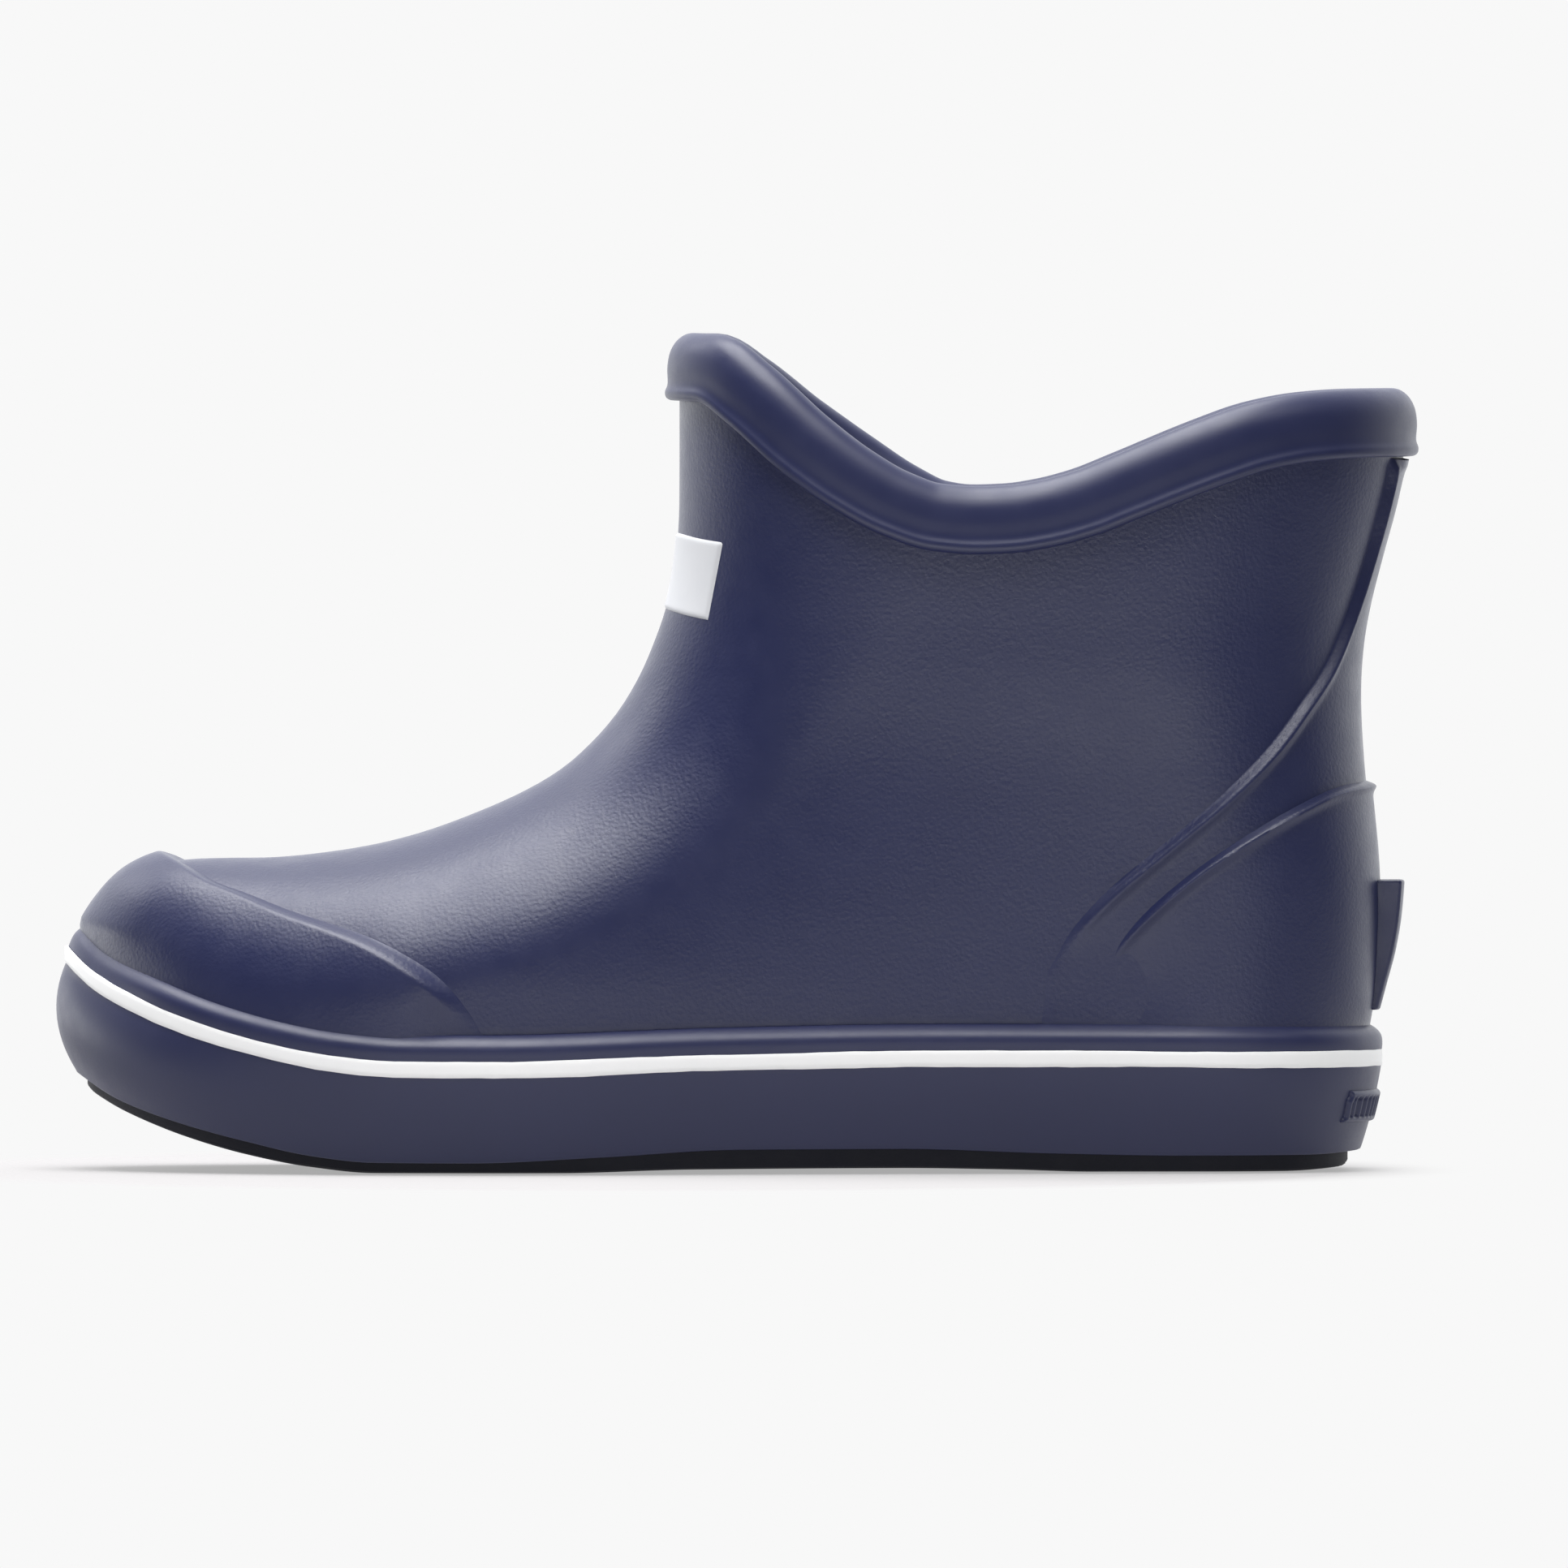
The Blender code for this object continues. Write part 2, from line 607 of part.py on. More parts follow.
def make_midsole(reference):
    tread = flared(reference, TREAD_OUT) + GAP
    lip = flared(reference, LIP_OUT)
    stripe = flared(reference, STRIPE_OUT)
    shelf = -STRIPE_HEIGHT / 2 - GAP

    def inner_foot(x):
        return np.minimum(height(FLOOR_LINE, x) + 4.0, stripe_edge(x, shelf) - 0.3)

    rings = [
        outline(reference, tread, lambda x: height(LIP_LINE, x) + OUTSOLE_NEST),
        outline(reference, tread, lambda x: height(LIP_LINE, x)),
        outline(reference, lip - 0.3, lambda x: height(LIP_LINE, x)),
        *[wall_ring(reference, share) for share in (0.0, 0.3, 0.65, 1.0)],
        outline(reference, stripe - 0.5, lambda x: stripe_edge(x, shelf)),
        outline(reference, CUP_INNER, lambda x: stripe_edge(x, shelf)),
        outline(reference, CUP_INNER, inner_foot),
        outline(reference, FEATHER_TUCK + 0.5, lambda x: height(FLOOR_LINE, x)),
    ]
    ring_solid("midsole_cup", rings, "navy_foam")


def make_band(name, reference, section, slot):
    """A hoop round the boot from (outline, height above the stripe's middle) corners."""
    rings = [outline(reference, out, lambda x, up=up: stripe_edge(x, up)) for out, up in section]
    ring_solid(name, rings, slot, loop=True)


def make_stripe(reference):
    edge = flared(reference, STRIPE_OUT)
    half = STRIPE_HEIGHT / 2
    section = [(CUP_INNER, -half), (edge, -half), (edge + 0.25, 0.0), (edge, half), (CUP_INNER, half)]
    make_band("foxing_stripe", reference, section, "white_rubber")


def make_bead(reference):
    edge = flared(reference, STRIPE_OUT)
    foot = STRIPE_HEIGHT / 2 + GAP
    section = [
        (CUP_INNER, foot), (edge - 0.2, foot), (edge - 0.25, foot + 1.6), (edge - 1.0, foot + 3.3),
        (edge - 2.4, foot + BEAD_HEIGHT - 0.5), (CUP_INNER + 0.8, foot + BEAD_HEIGHT), (CUP_INNER, foot + 3.6),
    ]
    make_band("foxing_bead", reference, section, "navy_foam")


def make_outsole(reference):
    tread = flared(reference, TREAD_OUT)
    rings = [
        outline(reference, tread - 1.2, lambda x: height(GROUND_LINE, x)),
        outline(reference, tread, lambda x: height(GROUND_LINE, x) + 1.0),
        outline(reference, tread, lambda x: height(LIP_LINE, x) + OUTSOLE_NEST - GAP - 0.1),
    ]
    ring_solid("outsole", rings, "outsole_rubber")


def heel_arc(ring, half, columns):
    """Evenly spaced points of a ring round the heel, between y = -half and y = half."""
    arc = smooth_path(ring[STATIONS - 9 : STATIONS + 10])
    arc = arc[np.abs(arc[:, 1]) <= half]
    return along(arc, np.linspace(0, 1, columns))


def make_badge(reference):
    """A raised plate round the back of the sidewall."""
    arcs = np.array([heel_arc(wall_ring(reference, s), BADGE_HALF_WIDTH, 11) for s in np.linspace(0, 1, 9)])
    rows = np.linspace(*BADGE_Z, 4)
    grid = np.empty((len(rows), arcs.shape[1], 3))
    for k in range(arcs.shape[1]):
        for axis in range(3):
            grid[:, k, axis] = np.interp(rows, arcs[:, k, 2], arcs[:, k, axis])
    overlay("heel_badge", grid, OVERLAY_GAP, OVERLAY_GAP + BADGE_THICKNESS, "navy_foam")


# ---------------------------------------------------------------- inside


def make_board(reference):
    low, high = 2 * GAP, 2 * GAP + BOARD_THICKNESS
    rings = [
        outline(reference, BOARD_INSET, lambda x: height(FLOOR_LINE, x) + low),
        outline(reference, BOARD_INSET, lambda x: height(FLOOR_LINE, x) + high),
    ]
    ring_solid("insole_board", rings, "board_fibre")


def cup_rise(x):
    """How far the footbed's edge turns up round the heel."""
    return CUP_RISE * smoothstep(x, 15.0, 125.0)


def footbed_rings(reference, low, high, insets):
    """The footbed or its cover between two heights over the cup's floor, with its edge turned up."""

    def level(up, cup):
        return lambda x: height(FLOOR_LINE, x) + up + cup * cup_rise(x)

    edge_low, edge_high = insets
    rings = [
        outline(reference, edge_low - 9.0, level(low, 0.15)),
        outline(reference, edge_low, level(low, 0.75)),
        outline(reference, edge_high, level(high, 1.0)),
        outline(reference, edge_high - 9.0, level(high, 0.2)),
    ]
    return rings


def split_at_flex_line(obj, front_name, rear_name, slot):
    """Cuts a footbed layer in two at the line where it bends, and keeps both closed pieces."""
    for name, keep_front in ((front_name, True), (rear_name, False)):
        bm = bmesh.new()
        bm.from_mesh(obj.data)
        shift = -GAP / 2 if keep_front else GAP / 2
        bmesh.ops.bisect_plane(
            bm,
            geom=bm.verts[:] + bm.edges[:] + bm.faces[:],
            plane_co=((FLEX_LINE_X + shift) * MM, 0, 0),
            plane_no=(1, 0, 0),
            clear_outer=keep_front,
            clear_inner=not keep_front,
        )
        open_edges = [e for e in bm.edges if e.is_boundary]
        bmesh.ops.edgeloop_fill(bm, edges=open_edges)
        bmesh.ops.recalc_face_normals(bm, faces=bm.faces)
        mesh = bpy.data.meshes.new(name)
        bm.to_mesh(mesh)
        bm.free()
        mesh.materials.append(material(slot))
        part = bpy.data.objects.new(name, mesh)
        bpy.context.scene.collection.objects.link(part)
        if not keep_front:
            pivot = Matrix.Translation((FLEX_LINE_X * MM, 0, FLEX_PIVOT_Z * MM))
            mesh.transform(pivot.inverted())
            part.location = pivot.translation
    bpy.data.objects.remove(obj)


def make_footbed(reference):
    foam_low = 2 * GAP + BOARD_THICKNESS + GAP
    foam_high = foam_low + FOAM_THICKNESS
    foam = ring_solid("footbed", footbed_rings(reference, foam_low, foam_high, FOAM_INSET), "footbed_foam")
    split_at_flex_line(foam, "footbed_forefoot", "footbed_rear", "footbed_foam")
    cover_low = foam_high + COVER_GAP
    insets = (FOAM_INSET[1], FOAM_INSET[1] + 0.2)
    cover = ring_solid("cover", cover_rings(reference, cover_low, insets), "footbed_knit")
    split_at_flex_line(cover, "footbed_cover_forefoot", "footbed_cover_rear", "footbed_knit")


def cover_rings(reference, low, insets):
    def level(up, cup):
        return lambda x: height(FLOOR_LINE, x) + up + cup * cup_rise(x)

    high = low + COVER_THICKNESS
    edge_low, edge_high = insets
    return [
        outline(reference, edge_low - 9.0, level(low, 0.2)),
        outline(reference, edge_low, level(low, 1.0)),
        outline(reference, edge_high, level(high, 1.0)),
        outline(reference, edge_high - 9.0, level(high, 0.2)),
    ]


def main():
    clear_scene()
    rings = upper_rings()
    reference = outline(rings[0], OUTLINE_MARGIN, lambda x: 0 * x)
    reference_normals = plan_normals(reference)
    low = lower_rings(rings[0], reference)
    normals = ring_normals(rings)
    all_rings = np.concatenate([low, rings])
    all_normals = np.concatenate([[reference_normals] * 2, normals])
    all_normals[2] = unit(all_normals[2] + reference_normals)
    all_normals[-1] = rim_outward(rings[-1], normals[-1])

    make_upper(all_rings, all_normals)
    make_lining(all_rings, all_normals)
    make_stiffener("toe_puff", all_rings, all_normals, slice(1, 5), range(-7, 8))
    make_stiffener("heel_stiffener", all_rings, all_normals, slice(1, 6), range(STATIONS - 6, STATIONS + 7))
    make_collar(rings[-1], all_normals[-1])

    make_toe_cap(rings[0])
    make_back_stay(rings[0])
    make_heel_counter(rings[0])
    make_label()
    make_kick_tab()

    make_midsole(reference)
    make_stripe(reference)
    make_bead(reference)
    make_outsole(reference)
    make_badge(reference)
    make_board(reference)
    make_footbed(reference)


main()
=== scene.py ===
"""The look of the ankle deck boot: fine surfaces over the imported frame, with materials, light and camera.

The boot stands on Z = 0 with its toe towards -X and its outer side towards -Y. Sizes are in millimetres
until a mesh is made.
"""

import math

import bmesh
import bpy
import numpy as np
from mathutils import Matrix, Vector


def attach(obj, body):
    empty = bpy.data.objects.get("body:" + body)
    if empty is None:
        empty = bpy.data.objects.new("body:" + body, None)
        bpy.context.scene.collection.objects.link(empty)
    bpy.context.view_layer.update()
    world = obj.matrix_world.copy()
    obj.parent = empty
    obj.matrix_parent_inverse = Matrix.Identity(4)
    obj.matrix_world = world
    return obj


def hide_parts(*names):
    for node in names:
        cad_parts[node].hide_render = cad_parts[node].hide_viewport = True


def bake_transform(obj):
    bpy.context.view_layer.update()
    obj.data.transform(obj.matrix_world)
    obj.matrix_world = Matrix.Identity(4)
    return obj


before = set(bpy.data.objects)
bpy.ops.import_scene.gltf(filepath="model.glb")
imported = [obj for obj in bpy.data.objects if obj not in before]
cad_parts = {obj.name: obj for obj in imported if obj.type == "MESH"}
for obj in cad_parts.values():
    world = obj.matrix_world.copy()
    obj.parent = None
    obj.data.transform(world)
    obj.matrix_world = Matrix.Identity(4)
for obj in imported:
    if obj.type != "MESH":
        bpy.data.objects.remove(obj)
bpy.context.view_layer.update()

MM = 0.001

# ---------------------------------------------------------------- the boot's shape, as in the part

OUTLINE_MARGIN = 1.5
STRIPE_HEIGHT = 3.8
ROUNDING_EXPONENT = 2.2
ROUNDING_DEPTH = (38.0, 58.0)
SOFT_REACH = (4.0, 14.0)

FRONT = [
    (-146.3, 55.5), (-144.0, 59.0), (-140.5, 63.2), (-136.5, 66.4), (-131.0, 68.8), (-124.0, 70.0),
    (-115.0, 70.3), (-104.7, 70.5), (-93.7, 71.6), (-82.6, 73.4), (-71.6, 76.2), (-60.5, 80.2),
    (-49.5, 85.0), (-40.5, 90.2), (-33.5, 96.2), (-27.4, 103.2), (-22.6, 111.0), (-19.1, 118.9),
    (-16.3, 127.0), (-14.4, 136.0), (-13.4, 146.0), (-13.2, 158.0), (-13.2, 174.3),
]
BACK = [
    (141.0, 32.6), (142.2, 40.0), (143.0, 50.0), (143.4, 60.0), (143.1, 70.0), (142.2, 80.0),
    (141.2, 90.0), (140.5, 100.0), (140.3, 108.0), (140.6, 115.0), (141.4, 122.0), (143.0, 130.0),
    (145.6, 140.0), (148.2, 149.5), (151.0, 161.7),
]
RIM = [
    (-13.2, 174.3), (-7.4, 174.0), (-1.3, 169.6), (10.0, 159.0), (21.3, 150.4), (32.6, 144.1),
    (43.8, 140.5), (54.0, 139.7), (62.0, 140.0), (70.8, 141.3), (80.6, 143.9), (90.5, 147.8),
    (110.2, 155.7), (120.0, 159.0), (129.9, 160.8), (139.8, 161.5), (151.0, 161.7),
]
INNER_SIDE_RIM_RISE = 3.0
RIM_DIP_X = (-12.0, 52.0)
FOOT_HALF_WIDTH = [
    (-150.0, 26.0), (-135.0, 34.5), (-115.0, 42.5), (-95.0, 48.2), (-75.0, 51.3), (-55.0, 51.3),
    (-35.0, 49.0), (-10.0, 44.2), (20.0, 39.8), (50.0, 37.2), (90.0, 36.0), (146.0, 35.5),
]
CENTRE_LINE = [
    (-150.0, 9.5), (-135.0, 8.2), (-115.0, 5.2), (-95.0, 2.2), (-75.0, 0.2), (-45.0, -1.2),
    (0.0, -2.4), (45.0, -2.2), (90.0, -0.5), (146.0, 0.0),
]
SHAFT_HALF_WIDTH = [(30.0, 35.5), (60.0, 37.5), (90.0, 39.0), (120.0, 42.0), (145.0, 44.8), (175.0, 47.0)]
STRIPE_LINE = [
    (-148.0, 48.6), (-142.5, 43.2), (-136.0, 39.2), (-126.5, 34.7), (-116.0, 30.8), (-102.5, 27.2),
    (-89.5, 24.8), (-75.0, 23.6), (-57.0, 23.5), (-2.0, 25.1), (45.0, 25.8), (100.0, 25.6), (146.0, 25.3),
]
LIP_LINE = [
    (-148.0, 21.7), (-138.7, 15.8), (-124.7, 10.6), (-110.6, 6.8), (-96.6, 3.8), (-82.4, 2.4), (-61.0, 2.3),
    (-30.0, 3.6), (0.0, 5.2), (37.0, 5.3), (72.0, 4.2), (100.0, 3.7), (130.0, 3.7), (146.0, 4.6),
]
GROUND_LINE = [
    (-148.0, 18.2), (-138.7, 13.2), (-124.7, 7.8), (-110.6, 3.9), (-96.6, 1.3), (-82.0, 0.0), (-40.0, 0.0),
    (-10.0, 0.7), (37.0, 0.9), (62.0, 0.5), (80.0, 0.0), (124.0, 0.0), (136.0, 0.6), (146.0, 1.6),
]
FLOOR_LINE = [
    (-148.0, 31.0), (-135.0, 25.2), (-120.0, 20.6), (-100.0, 17.2), (-75.0, 16.0), (-45.0, 16.0),
    (0.0, 18.0), (40.0, 19.5), (80.0, 20.3), (146.0, 20.5),
]
STRIPE_OUT = (3.4, 1.3)
LIP_OUT = (-1.1, 3.6)
WALL_BULGE = (0.4, 2.8)
TREAD_OUT = (-4.2, 4.0)
TOE_FLARE_X = (-95.0, -148.0)
TOE_CAP_EDGE = [
    (-126.5, 69.7), (-123.5, 68.4), (-117.6, 65.3), (-110.6, 62.9), (-100.1, 59.0), (-89.5, 55.8),
    (-82.4, 53.3), (-75.4, 49.9), (-68.4, 45.6), (-63.5, 41.0), (-59.5, 36.0),
]
STAY_EDGE = [
    (147.5, 161.0), (146.2, 154.0), (143.0, 142.0), (138.5, 128.0), (133.0, 115.0), (127.2, 106.0),
    (119.0, 95.0), (108.0, 84.0), (96.0, 74.0), (84.0, 64.0), (75.0, 54.5), (69.0, 45.0),
]
COUNTER_EDGE = [
    (141.3, 88.6), (134.0, 87.2), (125.0, 83.0), (114.0, 76.5), (102.0, 68.2), (91.0, 58.8),
    (83.5, 50.0), (79.0, 41.5),
]
LABEL_LOW = [(-16.3, 126.8), (-15.0, 126.4), (-11.5, 125.4), (-6.6, 124.4)]
LABEL_HIGH = [(-13.5, 144.2), (-12.3, 143.9), (-8.6, 143.0), (-3.2, 142.1)]
CUP_RISE = 5.5

# ---------------------------------------------------------------- how finely it is drawn

STATIONS = 110
ROWS = 70
BEAD_OVERLAP = 3.0

# How far the bead leans in at the toe, per millimetre of its height, and between which x.
BEAD_TOE_LEAN = 0.45
BEAD_LEAN_X = (-126.0, -146.0)

# The tread: pitch, width and depth of the grooves, how far they swing sideways, and the plain border.
TREAD_PITCH = 6.2
TREAD_GROOVE = (0.55, 0.95)
TREAD_DEPTH = 1.3
TREAD_SWING = 4.5
TREAD_SWING_PITCH = 13.0
TREAD_BORDER = (3.6, 4.4)

# The badge bar: its half width, its rows' heights, and its upright ribs.
BADGE_HALF_WIDTH = 23.5
BADGE_HEIGHTS = (10.8, 18.2)
BADGE_RIBS = 17

# The painted stripe: how far its edges wander, and how many waves they have round the boot.
STRIPE_WANDER = 0.30
STRIPE_WAVES = (7, 13, 23, 41, 67, 83)

# The moulded steps: how high each overlay stands, and how wide its rounded edge is.
TOE_CAP_STEP = (2.9, 4.6)
STAY_STEP = (0.9, 2.6)
COUNTER_STEP = (1.3, 2.6)
WELT = (1.15, 1.9, 1.3)

# Closed sections as (outwards, upwards) from the rim and from the stripe's middle.
COLLAR_SECTION = [
    (-0.6, 0.9), (1.3, -0.2), (2.9, 0.3), (3.3, 1.7), (2.7, 3.6), (2.75, 7.4), (2.1, 10.8),
    (0.5, 13.4), (-1.9, 14.9), (-4.6, 14.8), (-6.8, 12.9), (-7.9, 9.6), (-8.1, 5.6), (-7.7, 2.0),
    (-6.4, -1.6), (-4.0, -1.8), (-1.6, -0.4),
]
BEAD_SECTION = [
    (-2.6, -1.0), (-0.6, -1.0), (-0.1, 0.6), (0.25, 2.4), (0.2, 4.3), (-0.5, 6.0), (-1.8, 7.3),
    (-3.2, 7.7), (-4.6, 6.9), (-5.6, 5.2), (-5.6, 1.0),
]
# The coat of paint as (outwards, share of half the stripe's height).
STRIPE_SECTION = [
    (-0.5, -1.0), (0.05, -1.0), (0.22, -0.9), (0.27, -0.4), (0.27, 0.4), (0.22, 0.9), (0.05, 1.0),
    (-0.5, 1.0),
]

# ---------------------------------------------------------------- the studio, in metres and watts

BACKGROUND = (0.939, 0.939, 0.939)
FLOOR_COLOUR = (0.43, 0.415, 0.42)
FLOOR_GLOW = 0.42
FLOOR_RADIUS = 0.5
FLOOR_Z = -0.0004
FLOOR_FADE = (0.13, 0.19)
FLOOR_FADE_SHIFT = (0.02, 0.0, 0.0)
FLOOR_FADE_SHAPE = (1.0, 0.9, 1.0)

CAMERA_DISTANCE = 8.0
CAMERA_SEEN_WIDTH = 0.3555
CAMERA_TILT = math.radians(0.8)
CAMERA_AIM = (0.0105, 0.0871)

# Name, place, target, size and power of each area light.
LIGHTS = [
    ("overhead_softbox", (-0.2, -0.02, 1.2), (0.0, 0.0, 0.1), (1.15, 0.8), 23.0),
    ("front_high", (0.0, -0.9, 1.6), (0.0, 0.0, 0.09), (0.8, 0.8), 9.0),
    ("left_back", (-0.9, 0.6, 0.9), (0.0, 0.0, 0.09), (0.5, 0.5), 2.2),
    ("floor_bounce", (0.0, -0.24, 0.001), (0.0, -0.1, 0.5), (0.5, 0.24), 0.8),
    ("toe_glow", (-0.45, 0.16, 0.03), (-0.14, 0.0, 0.035), (0.3, 0.14), 0.22),
    ("right_fill", (0.9, -0.8, 1.6), (0.0, 0.0, 0.09), (0.8, 0.8), 3.0),
]


# ---------------------------------------------------------------- curves


def smoothstep(x, low, high):
    t = np.clip((np.asarray(x, float) - low) / (high - low), 0.0, 1.0)
    return t * t * (3.0 - 2.0 * t)


def height(knots, x):
    """A smooth line through (x, value) knots that never overshoots them."""
    knot_x, knot_y = np.array(knots, float).T
    step = np.diff(knot_x)
    slope = np.diff(knot_y) / step
    tangent = np.zeros(len(knot_x))
    same_way = slope[1:] * slope[:-1] > 0
    tangent[1:-1] = np.where(same_way, 2 * slope[1:] * slope[:-1] / (slope[1:] + slope[:-1] + 1e-12), 0.0)
    tangent[0], tangent[-1] = slope[0], slope[-1]
    x = np.clip(x, knot_x[0], knot_x[-1])
    i = np.clip(np.searchsorted(knot_x, x, side="right") - 1, 0, len(step) - 1)
    t = (x - knot_x[i]) / step[i]
    return (
        (1 + 2 * t) * (1 - t) ** 2 * knot_y[i]
        + t * (1 - t) ** 2 * step[i] * tangent[i]
        + t * t * (3 - 2 * t) * knot_y[i + 1]
        + t * t * (t - 1) * step[i] * tangent[i + 1]
    )


def smooth_path(points, per_span=12):
    """A dense Catmull-Rom path through the points."""
    p = np.array(points, float)
    p = np.vstack([2 * p[0] - p[1], p, 2 * p[-1] - p[-2]])
    t = np.linspace(0, 1, per_span, endpoint=False)[:, None]
    spans = [
        0.5
        * (
            2 * p[i]
            + (p[i + 1] - p[i - 1]) * t
            + (2 * p[i - 1] - 5 * p[i] + 4 * p[i + 1] - p[i + 2]) * t**2
            + (3 * p[i] - p[i - 1] - 3 * p[i + 1] + p[i + 2]) * t**3
        )
        for i in range(1, len(p) - 2)
    ]
    return np.vstack([*spans, p[-2:-1]])


def smooth_loop(points, per_span=6):
    """A dense closed Catmull-Rom path through the points."""
    p = np.array(points, float)
    count = len(p)
    dense = smooth_path([*p[-2:], *p, *p[:3]], per_span)
    return dense[2 * per_span : (2 + count) * per_span]


def along(path, share):
    """Points at these shares of a path's length."""
    length = np.concatenate([[0], np.cumsum(np.linalg.norm(np.diff(path, axis=0), axis=1))])
    at = np.asarray(share, float) * length[-1]
    return np.stack([np.interp(at, length, path[:, k]) for k in range(path.shape[1])], axis=-1)


def part_of(path, low_z, high_z):
    """The stretch of a rising path between two heights, ends included."""
    ends = [[np.interp(z, path[:, 1], path[:, 0]), z] for z in (low_z, high_z)]
    inside = path[(path[:, 1] > low_z) & (path[:, 1] < high_z)]
    return np.vstack([ends[:1], inside, ends[1:]])


FRONT_PATH = smooth_path(FRONT)
BACK_PATH = smooth_path(BACK)
FRONT_EDGE = np.vstack([[-141.0, -20.0], FRONT_PATH, [-13.2, 240.0]])
BACK_EDGE = np.vstack([[139.0, -20.0], BACK_PATH, [160.0, 200.0]])


# ---------------------------------------------------------------- the upper's surface


def distance_to(path, points):
    """Distance of each point from a path, in two or three dimensions."""
    start, run = path[:-1], np.diff(path, axis=0)
    nearest = []
    for some in np.array_split(points, max(1, len(points) // 4000)):
        to_start = some[:, None, :] - start[None]
        t = np.clip((to_start * run).sum(2) / np.maximum((run * run).sum(1), 1e-12), 0, 1)
        nearest.append(np.linalg.norm(to_start - t[..., None] * run, axis=2).min(1))
    return np.concatenate(nearest)


def even_samples(path, spacing=1.5):
    length = np.linalg.norm(np.diff(path, axis=0), axis=1).sum()
    count = int(length / spacing)
    return along(path, (np.arange(count) + 0.5) / count), length / count


EDGE_SAMPLES = [even_samples(FRONT_EDGE), even_samples(BACK_EDGE)]


def soft_distance(points):
    """Like the distance from the silhouette, with no crease where two stretches of it are equally near."""
    total = np.zeros(len(points))
    for samples, spacing in EDGE_SAMPLES:
        for part in np.array_split(np.arange(len(points)), max(1, len(points) // 4000)):
            squared = ((points[part][:, None, :] - samples[None]) ** 2).sum(2)
            total[part] += (spacing / np.maximum(squared, 0.25) ** 3).sum(1)
    return (total / 1.1781) ** -0.2


def rounding_depth(z):
    low, high = ROUNDING_DEPTH
    return low + (high - low) * smoothstep(z, 62.0, 150.0)


def full_half_width(x, z):
    """Half width of the boot away from its rounded front, top and back."""
    shaft_share = smoothstep(z, 40.0, 115.0)
    return height(FOOT_HALF_WIDTH, x) * (1 - shaft_share) + height(SHAFT_HALF_WIDTH, z) * shaft_share


def half_width(x, z):
    points = np.stack([x, z], axis=-1)
    near = np.minimum(distance_to(FRONT_EDGE, points), distance_to(BACK_EDGE, points))
    soft_share = smoothstep(near, *SOFT_REACH)
    depth = near * (1 - soft_share) + soft_distance(points) * soft_share
    share = np.clip(depth / rounding_depth(z), 0, 1)
    roundness = (1 - (1 - share) ** ROUNDING_EXPONENT) ** (1 / ROUNDING_EXPONENT)
    return full_half_width(x, z) * roundness


def centre_y(x, z):
    return height(CENTRE_LINE, x) * (1 - smoothstep(z, 55.0, 125.0))


def surface(side_points, side):
    """3-D points of the upper over (x, z) points, on side -1 (outer) or +1 (inner)."""
    x, z = side_points[..., 0].ravel(), side_points[..., 1].ravel()
    y = centre_y(x, z) + side * half_width(x, z)
    return np.stack([x, y, z], axis=-1).reshape(*side_points.shape[:-1], 3)


def shares_along(edge):
    """Each point's share of the way along its edge."""
    run = np.concatenate([[0], np.cumsum(np.linalg.norm(np.diff(edge, axis=0), axis=1))])
    return (run / run[-1])[None, :, None]


def coons(left, right, bottom, top):
    """A patch between four edges. left and right hold one point a row, bottom and top one a column."""
    v = shares_along(left).reshape(-1, 1, 1)
    u = shares_along(bottom) * (1 - v) + shares_along(top) * v
    across = left[:, None] * (1 - u) + right[:, None] * u
    up = bottom[None] * (1 - v) + top[None] * v
    corners = (
        bottom[0] * (1 - u) * (1 - v) + bottom[-1] * u * (1 - v) + top[0] * (1 - u) * v + top[-1] * u * v
    )
    return across + up - corners


def rim_height(x, side):
    low, high = RIM_DIP_X
    middle = (low + high) / 2
    rise = smoothstep(x, low, middle) * (1 - smoothstep(x, middle, high))
    return height(RIM, x) + (INNER_SIDE_RIM_RISE * rise if side > 0 else 0.0)


def ring_of(outer_half, inner_half):
    """One closed ring: down the outer side from toe to heel, and back along the inner side."""
    return np.concatenate([outer_half, inner_half[-2:0:-1]])


def upper_rings():
    """The upper's rings from the bead to the rim, as an array [row, place in ring, xyz]."""
    share = (1 - np.cos(np.pi * np.arange(STATIONS + 1) / STATIONS)) / 2
    rows = np.linspace(0, 1, ROWS + 1)
    left, right = along(FRONT_PATH, rows), along(BACK_PATH, rows)
    low_x = left[0, 0] + (right[0, 0] - left[0, 0]) * share
    top_x = left[-1, 0] + (right[-1, 0] - left[-1, 0]) * share
    bead = height(STRIPE_LINE, low_x) + 7.3
    low_z = bead + (left[0, 1] - bead[0]) * (1 - smoothstep(low_x, -147, -120))
    low_z += (right[0, 1] - bead[-1]) * smoothstep(low_x, 90, 141)
    bottom = np.stack([low_x, low_z], axis=-1)
    halves = []
    for side in (-1, 1):
        top = np.stack([top_x, rim_height(top_x, side)], axis=-1)
        halves.append(surface(coons(left, right, bottom, top), side))
    return np.array([ring_of(outer, inner) for outer, inner in zip(*halves)])


def unit(v):
    return v / np.linalg.norm(v, axis=-1, keepdims=True)


def ring_tangents(rings):
    return unit(unit(np.roll(rings, -1, axis=-2) - rings) + unit(rings - np.roll(rings, 1, axis=-2)))


def ring_normals(rings):
    """Outward normals of a stack of rings."""
    return unit(np.cross(ring_tangents(rings), np.gradient(rings, axis=0)))


def plan_normals(ring):
    """Outward normals of a ring as seen from above."""
    tangent = ring_tangents(ring * [1, 1, 0])
    return np.stack([tangent[:, 1], -tangent[:, 0], 0 * tangent[:, 0]], axis=-1)


